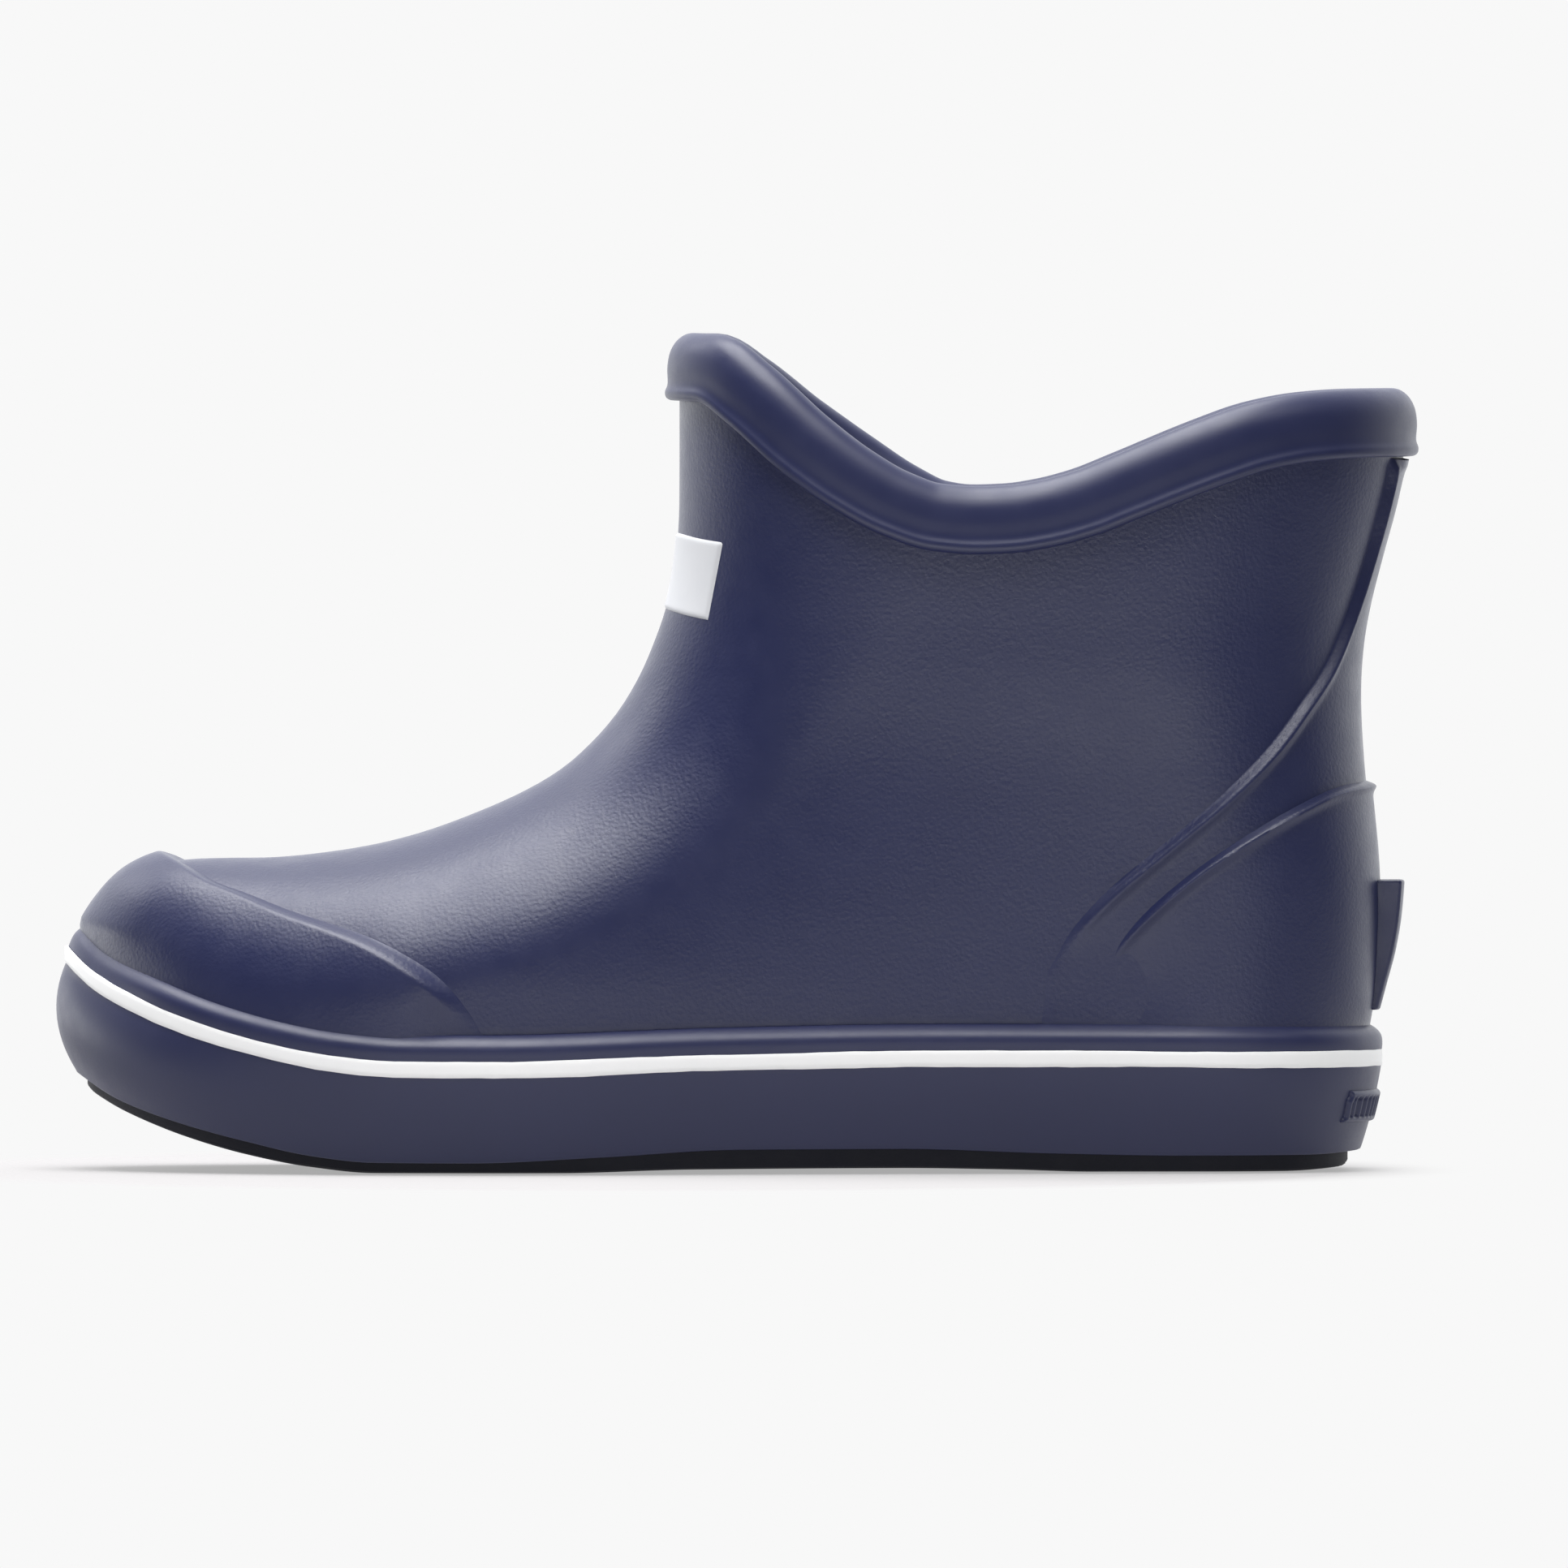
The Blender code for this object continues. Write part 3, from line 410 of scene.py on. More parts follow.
def outline(ring, outward, heights):
    """The plan ring moved outwards, at heights from a function of the ring's own x."""
    moved = ring + plan_normals(ring) * np.reshape(outward, (-1, 1))
    facing = np.roll(ring[::-1, 0], 1)
    moved[:, 2] = heights((ring[:, 0] + facing) / 2)
    return moved


# ---------------------------------------------------------------- meshes


def add_mesh(name, points, faces, material, body, replaced):
    """A smooth mesh piece from points in millimetres that rides on a body and stands for CAD nodes."""
    mesh = bpy.data.meshes.new(name)
    mesh.from_pydata([tuple(p) for p in np.asarray(points, float).reshape(-1, 3) * MM], [], faces)
    mesh.validate()
    bm = bmesh.new()
    bm.from_mesh(mesh)
    bmesh.ops.recalc_face_normals(bm, faces=bm.faces)
    bm.to_mesh(mesh)
    bm.free()
    mesh.shade_smooth()
    mesh.set_sharp_from_angle(angle=math.radians(50))
    mesh.materials.append(material)
    obj = bpy.data.objects.new(name, mesh)
    bpy.context.scene.collection.objects.link(obj)
    if body:
        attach(obj, body)
    if replaced:
        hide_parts(*replaced)
    return obj


def ring_faces(count, size, loop):
    faces = []
    for j in range(count if loop else count - 1):
        a, b = j * size, (j + 1) % count * size
        faces += [(a + k, a + (k + 1) % size, b + (k + 1) % size, b + k) for k in range(size)]
    return faces


def distance_to_border(grid):
    """Distance of each grid point from the grid's own border."""
    border = np.concatenate([grid[0], grid[1:, -1], grid[-1, ::-1], grid[-2::-1, 0]])
    return distance_to(border, grid.reshape(-1, 3)).reshape(grid.shape[:2])


def fill_outline(rim, x, across):
    """x and y of a grid that fills a plan ring, and each point's distance from the ring."""
    outer, inner = rim[: STATIONS + 1], np.concatenate([rim[STATIONS:], rim[:1]])[::-1]
    low_y = np.interp(x, outer[:, 0], outer[:, 1])
    high_y = np.interp(x, inner[:, 0], inner[:, 1])
    xs = np.repeat(x[:, None], len(across), axis=1)
    ys = low_y[:, None] + (high_y - low_y)[:, None] * across[None]
    loop = np.vstack([rim[:, :2], rim[:1, :2]])
    return xs, ys, distance_to(loop, np.stack([xs, ys], -1).reshape(-1, 2)).reshape(xs.shape)


def cap_faces(first, size):
    """A ring filled straight across, station to facing station."""
    half = size // 2
    faces = [(first, first + 1, first + size - 1)]
    faces += [
        (first + i, first + i + 1, first + size - i - 1, first + size - i) for i in range(1, half - 1)
    ]
    return faces + [(first + half - 1, first + half, first + half + 1)]


def ring_piece(name, rings, material, replaced, loop=True):
    """A piece from a stack of rings: a hoop, or a solid capped at both ends."""
    rings = np.array(rings)
    count, size = rings.shape[:2]
    faces = ring_faces(count, size, loop)
    if not loop:
        faces += cap_faces(0, size) + cap_faces((count - 1) * size, size)
    return add_mesh(name, rings, faces, material, "boot", replaced)


def sheet_faces(rows, columns):
    size = rows * columns
    faces = []
    for j in range(rows - 1):
        for k in range(columns - 1):
            corner = j * columns + k
            quad = (corner, corner + 1, corner + columns + 1, corner + columns)
            faces += [quad, tuple(size + i for i in quad)]
    border = list(range(columns))
    border += [j * columns + columns - 1 for j in range(1, rows)]
    border += [(rows - 1) * columns + k for k in range(columns - 2, -1, -1)]
    border += [j * columns for j in range(rows - 2, 0, -1)]
    for a, b in zip(border, border[1:] + border[:1]):
        faces.append((a, b, size + b, size + a))
    return faces


def sheet_piece(name, outside, inside, material, replaced, body="boot"):
    """A thick patch between two grids of points of the same size."""
    points = np.concatenate([outside.reshape(-1, 3), inside.reshape(-1, 3)])
    return add_mesh(name, points, sheet_faces(*outside.shape[:2]), material, body, replaced)


# ---------------------------------------------------------------- materials


class Nodes:
    """A short way to build a node tree."""

    def __init__(self, material):
        material.use_nodes = True
        self.tree = material.node_tree
        self.tree.nodes.clear()

    def add(self, kind, inputs=None, **settings):
        node = self.tree.nodes.new(kind)
        for key, value in settings.items():
            setattr(node, key, value)
        for key, value in (inputs or {}).items():
            if isinstance(value, bpy.types.NodeSocket):
                self.tree.links.new(value, node.inputs[key])
            else:
                node.inputs[key].default_value = value
        return node

    def math(self, operation, a, b=0.0):
        return self.add("ShaderNodeMath", {0: a, 1: b}, operation=operation).outputs[0]

    def noise(self, scale, detail=3.0, roughness=0.5, vector=None):
        inputs = {"Scale": scale, "Detail": detail, "Roughness": roughness}
        if vector is not None:
            inputs["Vector"] = vector
        return self.add("ShaderNodeTexNoise", inputs).outputs["Fac"]

    def spread(self, value, low, high, to_low, to_high):
        inputs = {"Value": value, "From Min": low, "From Max": high, "To Min": to_low, "To Max": to_high}
        return self.add("ShaderNodeMapRange", inputs).outputs["Result"]

    def tint(self, factor, first, second):
        node = self.add("ShaderNodeMix", data_type="RGBA", blend_type="MIX")
        self.tree.links.new(factor, node.inputs[0])
        node.inputs[6].default_value = (*first, 1.0)
        node.inputs[7].default_value = (*second, 1.0)
        return node.outputs[2]

    def bump(self, height_socket, strength, distance, normal=None):
        inputs = {"Height": height_socket, "Strength": strength, "Distance": distance}
        if normal is not None:
            inputs["Normal"] = normal
        return self.add("ShaderNodeBump", inputs).outputs["Normal"]

    def finish(self, inputs):
        shader = self.add("ShaderNodeBsdfPrincipled", inputs)
        self.add("ShaderNodeOutputMaterial", {"Surface": shader.outputs["BSDF"]})


def rubber(name, dark, light, roughness, grain_size, grain_depth, specular=0.5):
    """Moulded rubber: a fine pebble grain, with faint cloudiness in its colour and gloss."""
    material = bpy.data.materials.new(name)
    n = Nodes(material)
    place = n.add("ShaderNodeTexCoord").outputs["Object"]
    cloud = n.noise(14.0, 4.0, 0.55, place)
    mottle = n.noise(160.0, 3.0, 0.6, place)
    pebble = n.add(
        "ShaderNodeTexVoronoi", {"Vector": place, "Scale": 1000.0 / grain_size}, feature="SMOOTH_F1"
    ).outputs["Distance"]
    fine = n.noise(2600.0 / grain_size, 2.0, 0.6, place)
    wave = n.noise(90.0, 2.0, 0.5, place)
    grain = n.math("ADD", n.math("MULTIPLY", pebble, 0.7), n.math("MULTIPLY", fine, 0.5))
    blend = n.spread(n.math("ADD", cloud, n.math("MULTIPLY", mottle, 0.35)), 0.45, 0.95, 0.0, 1.0)
    colour = n.tint(blend, dark, light)
    gloss = n.spread(n.math("ADD", mottle, fine), 0.7, 1.3, roughness - 0.05, roughness + 0.05)
    swell = n.bump(wave, 0.03, 0.0010)
    normal = n.bump(grain, 0.5, grain_depth * MM, swell)
    n.finish(
        {"Base Color": colour, "Roughness": gloss, "Normal": normal, "Specular IOR Level": specular}
    )
    return material


def knit(name, dark, light, pitch):
    """A jersey knit: rows of small loops, with fuzz and a soft sheen."""
    material = bpy.data.materials.new(name)
    n = Nodes(material)
    place = n.add("ShaderNodeTexCoord").outputs["Object"]
    axes = n.add("ShaderNodeSeparateXYZ", {"Vector": place})
    turn = 2.0 * math.pi * 1000.0 / pitch
    along_x = n.math("MULTIPLY", n.math("ADD", axes.outputs["X"], axes.outputs["Y"]), turn)
    slant = n.math("MULTIPLY", axes.outputs["Y"], 0.6)
    up = n.math("MULTIPLY", n.math("ADD", axes.outputs["Z"], slant), turn)
    columns = n.math("SINE", along_x)
    courses = n.math("SINE", n.math("ADD", up, n.math("MULTIPLY", n.math("ABSOLUTE", columns), 1.6)))
    loops = n.math("MULTIPLY_ADD", n.math("MULTIPLY", columns, courses), 0.5)
    fuzz = n.noise(1500.0, 3.0, 0.7, place)
    pile = n.math("ADD", n.math("MULTIPLY", loops, 0.8), n.math("MULTIPLY", fuzz, 0.6))
    # Painted shade: the colour darkens where the loops sink, in the gaps between them, over the yarn's own
    # navy
    colour = n.tint(n.spread(pile, -0.2, 1.0, 0.0, 1.0), dark, light)
    n.finish(
        {
            "Base Color": colour,
            "Roughness": 0.95,
            "Normal": n.bump(pile, 0.7, 0.0004),
            "Sheen Weight": 0.25,
            "Sheen Roughness": 0.5,
            "Specular IOR Level": 0.2,
        }
    )
    return material


def fibre(name, dark, light):
    """Pressed fibre board: long pale fibres in a matt ground."""
    material = bpy.data.materials.new(name)
    n = Nodes(material)
    place = n.add("ShaderNodeTexCoord").outputs["Object"]
    stretched = n.add("ShaderNodeMapping", {"Vector": place, "Scale": (0.15, 1.0, 1.0)}).outputs["Vector"]
    strands = n.noise(900.0, 4.0, 0.7, stretched)
    specks = n.noise(300.0, 3.0, 0.6, place)
    colour = n.tint(n.spread(n.math("ADD", strands, specks), 0.7, 1.3, 0.0, 1.0), dark, light)
    n.finish({"Base Color": colour, "Roughness": 0.9, "Normal": n.bump(strands, 0.5, 0.0003)})
    return material


def foam(name, dark, light):
    """Open-cell foam: fine round pores."""
    material = bpy.data.materials.new(name)
    n = Nodes(material)
    place = n.add("ShaderNodeTexCoord").outputs["Object"]
    pores = n.add("ShaderNodeTexVoronoi", {"Vector": place, "Scale": 900.0}).outputs["Distance"]
    cloud = n.noise(120.0, 3.0, 0.6, place)
    # Painted shade: the colour is darker down in the pores, the same pits the bump sinks, with random
    # cloudiness on top
    colour = n.tint(n.spread(n.math("ADD", pores, cloud), 0.4, 1.2, 0.0, 1.0), dark, light)
    n.finish({"Base Color": colour, "Roughness": 0.9, "Normal": n.bump(pores, 0.6, 0.0003)})
    return material


NAVY_DARK = (0.0135, 0.0175, 0.064)
NAVY_LIGHT = (0.0175, 0.0220, 0.074)

UPPER = rubber("navy_upper", NAVY_DARK, NAVY_LIGHT, 0.38, 0.85, 0.17)
OVERLAY = rubber("navy_overlay", NAVY_DARK, NAVY_LIGHT, 0.38, 0.85, 0.15)
COLLAR = rubber("navy_collar", NAVY_DARK, NAVY_LIGHT, 0.43, 0.9, 0.018)
SIDEWALL = rubber("navy_sidewall", (0.016, 0.020, 0.066), (0.020, 0.024, 0.076), 0.42, 0.9, 0.03)
STRIPE = rubber("stripe_white", (0.91, 0.915, 0.92), (0.96, 0.96, 0.96), 0.50, 1.1, 0.030)
LABEL = rubber("label_white", (0.59, 0.60, 0.63), (0.65, 0.655, 0.675), 0.46, 1.4, 0.010, 0.35)
TREAD = rubber("outsole_navy", (0.004, 0.0045, 0.010), (0.006, 0.007, 0.015), 0.66, 0.7, 0.06, 0.3)
LINING = knit("lining_knit", (0.030, 0.034, 0.055), (0.085, 0.092, 0.125), 1.9)
COVER = knit("footbed_knit", (0.035, 0.040, 0.065), (0.12, 0.13, 0.17), 2.1)
FOAM = foam("footbed_foam", (0.020, 0.022, 0.035), (0.055, 0.060, 0.085))
BOARD = fibre("board_fibre", (0.20, 0.16, 0.11), (0.48, 0.41, 0.31))


# ---------------------------------------------------------------- the upper and its overlays


def make_upper(rings, normals):
    below = rings[:1] - normals[:1] * 0.6
    below[..., 2] -= BEAD_OVERLAP
    outside = np.concatenate([below, rings])
    normals = np.concatenate([normals[:1], normals])
    inside = outside - normals * 3.5
    shell = np.concatenate([outside, inside[::-1]])
    ring_piece("upper_shell_skin", shell, UPPER, ["upper_shell"])


def make_lining(rings, normals, reference):
    foot = outline(reference, -7.4, lambda x: height(FLOOR_LINE, x) + 2.0)
    outside = np.concatenate([(foot + plan_normals(foot) * 1.0)[None], rings - normals * 5.2])
    inside = np.concatenate([foot[None], rings - normals * 6.3])
    ring_piece("lining_knit_sock", np.concatenate([outside, inside[::-1]]), LINING, ["lining"])


def rim_outward(top_ring, normal):
    """The level direction away from the rim, square to the rim line."""
    tangent = ring_tangents(top_ring)
    level = unit(normal * [1, 1, 0.15])
    return unit(level - tangent * (level * tangent).sum(1, keepdims=True))


def make_collar(top_ring, outward):
    upward = np.cross(outward, ring_tangents(top_ring))
    section = smooth_loop(COLLAR_SECTION)
    rings = [top_ring + outward * out + upward * up for out, up in section]
    ring_piece("topline_collar_roll", rings, COLLAR, ["topline_collar"])


def wrapped(ridge, far, low, high):
    """A grid that wraps round the boot's front or back: outer side, across the ridge, inner side."""
    patch = coons(ridge, far, low, high)
    outer, inner = surface(patch, -1), surface(patch, 1)
    return np.concatenate([outer[:, ::-1], inner[:, 1:]], axis=1)


def grid_normals(grid):
    """Outward normals of a grid whose columns run from the outer side round to the inner side."""
    normal = unit(np.cross(np.gradient(grid, axis=1), np.gradient(grid, axis=0)))
    return normal * -np.sign(normal[:, 0, 1].sum())


def crowd(count, power=2.0):
    """Shares from 0 to 1 that crowd towards 1."""
    return 1 - (1 - np.linspace(0, 1, count)) ** power


def from_ridge(count):
    """Shares from 0 to 1 that crowd towards the ridge and, less, towards the far end."""
    t = np.linspace(0, 1, count)
    return (1 - np.cos(np.pi / 2 * t)) * 0.75 + 0.25 * smoothstep(t, 0, 1)


def edge_in_space(edge):
    """The edge's path in space, up one side of the boot and down the other."""
    return surface(edge, -1), surface(edge, 1)


def moulded_overlay(name, grid, edge, low_end, step, fade_reach, replaced, welt=(0.0, 1.0, 1.0)):
    """An overlay over a grid. It rises from a rounded edge, and sinks into the upper near the edge's far end.

    edge is its border in side view and low_end the last point of that border, down at the bead. Both count
    on the outer and the inner side. welt is the height, place and width of a soft ridge along the edge.
    """
    rise, width = step
    outer, inner = edge_in_space(np.vstack([edge, low_end]))
    whole = np.concatenate([outer[::-1], inner])
    far_outer, far_inner = edge_in_space(edge[-1:])
    normal = grid_normals(grid)
    flat = grid.reshape(-1, 3)
    away = distance_to(whole, flat)
    to_far = np.minimum(
        np.linalg.norm(flat - far_outer, axis=1), np.linalg.norm(flat - far_inner, axis=1)
    )
    strength = smoothstep(to_far, 4.0, fade_reach)
    crest = welt[0] * np.exp(-(((away - welt[1]) / welt[2]) ** 2))
    lift = (rise * smoothstep(away, 0.0, width) + crest) * strength
    lift += 0.16 * smoothstep(away, 0.2, 2.4) - 0.14 * (1 - smoothstep(away, 0.0, 0.8))
    outside = grid + normal * lift.reshape(*grid.shape[:2], 1)
    sheet_piece(name, outside, grid - normal * 0.9, OVERLAY, replaced)


def below_bead(ring, x):
    """An overlay's lower path, hidden behind the bead."""
    outer = ring[: STATIONS + 1]
    return np.stack([x, np.interp(x, outer[:, 0], outer[:, 2]) - 3.5], axis=-1)


def make_toe_cap(ring):
    edge = smooth_path(TOE_CAP_EDGE)
    edge = np.vstack([edge, [edge[-1] + [2.6, -4.6]]])
    low = below_bead(ring, np.linspace(FRONT[0][0] + 0.25, edge[-1, 0], 90))
    edge[-1, 1] = max(edge[-1, 1], low[-1, 1] + 0.5)
    climb = FRONT_PATH[FRONT_PATH[:, 0] < edge[0, 0]]
    rows = crowd(60, 1.7)
    ridge = along(np.vstack([low[:1], climb, edge[:1]]), rows)
    far = along(np.array([low[-1], edge[-1]]), rows)
    share = from_ridge(70)
    grid = wrapped(ridge, far, along(low, share), along(edge, share))
    moulded_overlay("toe_cap_bumper", grid, edge, low[-1], TOE_CAP_STEP, 20.0, ["toe_cap"])


def make_back_stay(ring):
    edge = smooth_path(STAY_EDGE)
    low = below_bead(ring, np.linspace(BACK[0][0], edge[-1, 0] - 1.0, 90))
    rows = np.linspace(0, 1, 90)
    climb = BACK_PATH[BACK_PATH[:, 1] < edge[0, 1]]
    ridge = along(np.vstack([low[:1], climb, [[150.8, edge[0, 1]]]]), rows)
    far = along(np.vstack([low[-1:], edge[::-1]]), rows)
    share = 1 - crowd(56, 1.6)[::-1]
    share = 0.5 * share + 0.5 * crowd(56, 1.8)
    grid = wrapped(ridge, far, along(low, share), along(np.array([ridge[-1], edge[0]]), share))
    moulded_overlay("back_stay_overlay", grid, edge, low[-1], STAY_STEP, 30.0, ["back_stay"], WELT)


def make_heel_counter(ring):
    edge = smooth_path(COUNTER_EDGE)
    low = below_bead(ring, np.linspace(BACK[0][0], edge[-1, 0] - 1.0, 90))
    rows = crowd(56, 1.7)
    climb = BACK_PATH[BACK_PATH[:, 1] < edge[0, 1]]
    ridge = along(np.vstack([low[:1], climb, edge[:1]]), rows)
    far = along(np.array([low[-1], edge[-1]]), rows)
    share = from_ridge(64)
    grid = wrapped(ridge, far, along(low, share), along(edge, share))
    step = (COUNTER_STEP[0] + STAY_STEP[0], COUNTER_STEP[1])
    moulded_overlay("heel_counter_overlay", grid, edge, low[-1], step, 28.0, ["heel_counter"], WELT)


def make_label():
    """A blank white patch with a rounded rim."""
    low, high = smooth_path(LABEL_LOW), smooth_path(LABEL_HIGH)
    rows = np.linspace(0, 1, 40)
    ridge = along(part_of(FRONT_PATH, low[0, 1], high[0, 1]), rows)
    far = along(np.array([low[-1], high[-1]]), rows)
    share = 1 - np.cos(np.pi / 2 * np.linspace(0, 1, 36))
    grid = wrapped(ridge, far, along(low, share), along(high, share))
    normal = grid_normals(grid)
    away = distance_to_border(grid)
    lift = -0.1 + 0.55 * np.sqrt(np.clip(away / 0.9, 0, 1))
    outside, inside = grid + normal * lift[..., None], grid - normal * 0.5
    sheet_piece("front_label_patch", outside, inside, LABEL, ["front_label"])


def make_kick_tab():
    """The ledge at the heel: flat on top, tapering into the counter below."""
    profile = [(36.0, 145.6), (42.0, 147.2), (50.0, 149.3), (58.0, 150.6), (65.4, 151.2)]
    foot_z, top_z, columns = profile[0][0], profile[-1][0], 21
    rows = np.linspace(foot_z, top_z, 30)
    outside, inside = [], []
    for z in rows:
        rise = (z - foot_z) / (top_z - foot_z)
        half = 6.0 + 3.0 * rise
        y = np.linspace(-half, half, columns)
        back_x = np.interp(z, BACK_PATH[:, 1], BACK_PATH[:, 0])
        width = full_half_width(np.array([back_x]), np.array([z]))[0] + 3.0
        flat = (1 - (np.abs(y) / width) ** ROUNDING_EXPONENT) ** (1 / ROUNDING_EXPONENT)
        near = back_x + 1.6 - (rounding_depth(z) + 3.0) * (1 - flat)
        far = np.maximum(height(profile, z) - 0.9 * (y / half) ** 4, near + 0.8)
        inside.append(np.stack([near, y, np.full(columns, z)], axis=-1))
        outside.append(np.stack([far, y, np.full(columns, z)], axis=-1))
    outside, inside = np.array(outside), np.array(inside)
    tab = sheet_piece("kick_tab_ledge", outside, inside, OVERLAY, ["kick_tab"])
    bevel = tab.modifiers.new("soft_edges", "BEVEL")
    bevel.width = 0.5 * MM
    bevel.segments = 3
    bevel.limit_method = "ANGLE"
    bevel.angle_limit = math.radians(45)


# ---------------------------------------------------------------- the sole


def toe_share(ring):
    return smoothstep(-ring[:, 0], -TOE_FLARE_X[0], -TOE_FLARE_X[1])


def flared(ring, amounts):
    return amounts[0] + amounts[1] * toe_share(ring)


def stripe_mid(x):
    return height(STRIPE_LINE, x)


def wall_out(reference, share):
    """How far the sidewall stands out of the reference outline, from its lip (0) to the stripe (1)."""
    lip, stripe = flared(reference, LIP_OUT), flared(reference, STRIPE_OUT)
    return lip + (stripe - lip) * share + flared(reference, WALL_BULGE) * 4 * share * (1 - share)


def wall_ring(reference, share):
    def wall_height(x):
        low, high = height(LIP_LINE, x) + 0.7, stripe_mid(x) - STRIPE_HEIGHT / 2
        return low + (high - low) * share

    return outline(reference, wall_out(reference, share), wall_height)


def make_sidewall(reference):
    lip, tread = flared(reference, LIP_OUT), flared(reference, TREAD_OUT)
    stripe = flared(reference, STRIPE_OUT)
    rings = [
        outline(reference, -4.0, lambda x: height(LIP_LINE, x) + 3.0),
        outline(reference, tread + 0.1, lambda x: height(LIP_LINE, x) + 0.4),
        outline(reference, tread + 0.3, lambda x: height(LIP_LINE, x)),
        outline(reference, lip - 0.7, lambda x: height(LIP_LINE, x)),
        outline(reference, lip - 0.25, lambda x: height(LIP_LINE, x) + 0.2),
        *[wall_ring(reference, share) for share in np.linspace(0, 1, 16)],
        outline(reference, stripe, lambda x: stripe_mid(x)),
        outline(reference, stripe - 0.6, lambda x: stripe_mid(x) + 1.0),
        outline(reference, -1.4, lambda x: stripe_mid(x) + 1.0),
        outline(reference, -4.0, lambda x: height(FLOOR_LINE, x)),
    ]
    ring_piece("midsole_cup_sidewall", rings, SIDEWALL, ["midsole_cup"], loop=False)


def make_bead(reference):
    """The rounded band over the stripe, with a crease where it meets the upper."""
    edge = flared(reference, STRIPE_OUT)
    lean = BEAD_TOE_LEAN * smoothstep(-reference[:, 0], -BEAD_LEAN_X[0], -BEAD_LEAN_X[1])
    rings = []
    for out, up in smooth_loop(BEAD_SECTION, 4):
        outward = edge * min(1.0, 1.0 + out / 8.0) + np.maximum(out, -5.2 - edge) - lean * max(up, 0.0)
        rings.append(outline(reference, outward, lambda x, up=up: stripe_mid(x) + up))
    ring_piece("foxing_bead_band", rings, SIDEWALL, ["foxing_bead"])


def waver(reference, seed):
    """A hand-painted line's small wander round the boot."""
    run = np.concatenate([[0], np.cumsum(np.linalg.norm(np.diff(reference[:, :2], axis=0), axis=1))])
    rng = np.random.default_rng(seed)
    total = np.zeros(len(reference))
    for waves in STRIPE_WAVES:
        size, phase = rng.uniform(0.4, 1.0), rng.uniform(0, 6.28)
        total += size * np.sin(2 * np.pi * waves * run / run[-1] + phase) / waves**0.5
    return total * STRIPE_WANDER


def make_stripe(reference):
    """The painted stripe: a thin coat whose edges wander a little."""
    edge = flared(reference, STRIPE_OUT)
    top, bottom = waver(reference, 5), waver(reference, 11)
    rings = []
    for out, up in STRIPE_SECTION:
        ring = outline(reference, edge + out, lambda x: stripe_mid(x) + up * STRIPE_HEIGHT / 2)
        ring[:, 2] += np.where(up > 0, top, bottom) * abs(up)
        rings.append(ring)
    ring_piece("foxing_stripe_paint", rings, STRIPE, ["foxing_stripe"])


def tread_groove(x, y, border):
    """1 in a groove of the zigzag tread and 0 on its ribs; the border stays whole."""
    zigzag = TREAD_SWING * np.abs(((y / TREAD_SWING_PITCH) % 2.0) - 1.0)
    cut = np.abs((((x + zigzag) / TREAD_PITCH) % 1.0) - 0.5) * TREAD_PITCH
    return (1 - smoothstep(cut, *TREAD_GROOVE)) * smoothstep(border, *TREAD_BORDER)


def make_outsole(reference):
    """The grooved tread, and a smooth band round it that nests in the sidewall."""
    tread = flared(reference, TREAD_OUT)
    rim = outline(reference, tread - 0.5, lambda x: height(GROUND_LINE, x))
    even = np.linspace(0, 1, 100)
    across = (1 - np.cos(np.pi * even)) / 2 * 0.15 + even * 0.85
    x = np.linspace(rim[:, 0].min() + 0.05, rim[:, 0].max() - 0.05, 330)
    xs, ys, border = fill_outline(rim, x, across)
    edge_round = 0.45 * (1 - np.sqrt(np.clip(border / 0.8, 0, 1)))
    zs = height(GROUND_LINE, xs) + TREAD_DEPTH * tread_groove(xs, ys, border) + edge_round
    bottom = np.stack([xs, ys, zs], axis=-1)
    top = bottom.copy()
    top[..., 2] = height(LIP_LINE, xs) + 0.6
    sheet_piece("outsole_tread", bottom, top, TREAD, ["outsole"])
    rings = [
        outline(reference, tread - 0.7, lambda x: height(GROUND_LINE, x) + 0.25),
        outline(reference, tread - 0.25, lambda x: height(GROUND_LINE, x) + 0.35),
        outline(reference, tread, lambda x: height(GROUND_LINE, x) + 0.9),
        outline(reference, tread, lambda x: height(LIP_LINE, x) + 1.0),
        outline(reference, tread - 1.0, lambda x: height(LIP_LINE, x) + 1.0),
    ]
    ring_piece("outsole_foxed_edge", rings, TREAD, [])


def make_badge(reference):
    """A plain raised bar with upright ribs round the back of the sidewall."""
    reach, columns = 45, 240
    arcs = []
    for share in np.linspace(0, 1, 21):
        arc = smooth_path(wall_ring(reference, share)[STATIONS - reach : STATIONS + reach + 1], 3)
        arc = arc[np.abs(arc[:, 1]) <= BADGE_HALF_WIDTH]
        arcs.append(along(arc, np.linspace(0, 1, columns)))
    arcs = np.array(arcs)
    rows = np.linspace(*BADGE_HEIGHTS, 26)
    grid = np.empty((len(rows), columns, 3))
    for k in range(columns):
        for axis in range(3):
            grid[:, k, axis] = np.interp(rows, arcs[:, k, 2], arcs[:, k, axis])
    normal = grid_normals(grid)
    away = distance_to_border(grid)
    ribs = 0.5 - 0.5 * np.cos(np.linspace(0, 2 * np.pi * BADGE_RIBS, columns))[None]
    ribbed = smoothstep(away, 1.3, 1.8)
    lift = -0.15 + 1.15 * np.sqrt(np.clip(away / 0.8, 0, 1)) - 0.85 * ribs * ribbed
    outside, inside = grid + normal * lift[..., None], grid - normal * 0.6
    sheet_piece("heel_badge_bar", outside, inside, SIDEWALL, ["heel_badge"])


# ---------------------------------------------------------------- the footbed


def cup_rise(x):
    return CUP_RISE * smoothstep(x, 15.0, 125.0)


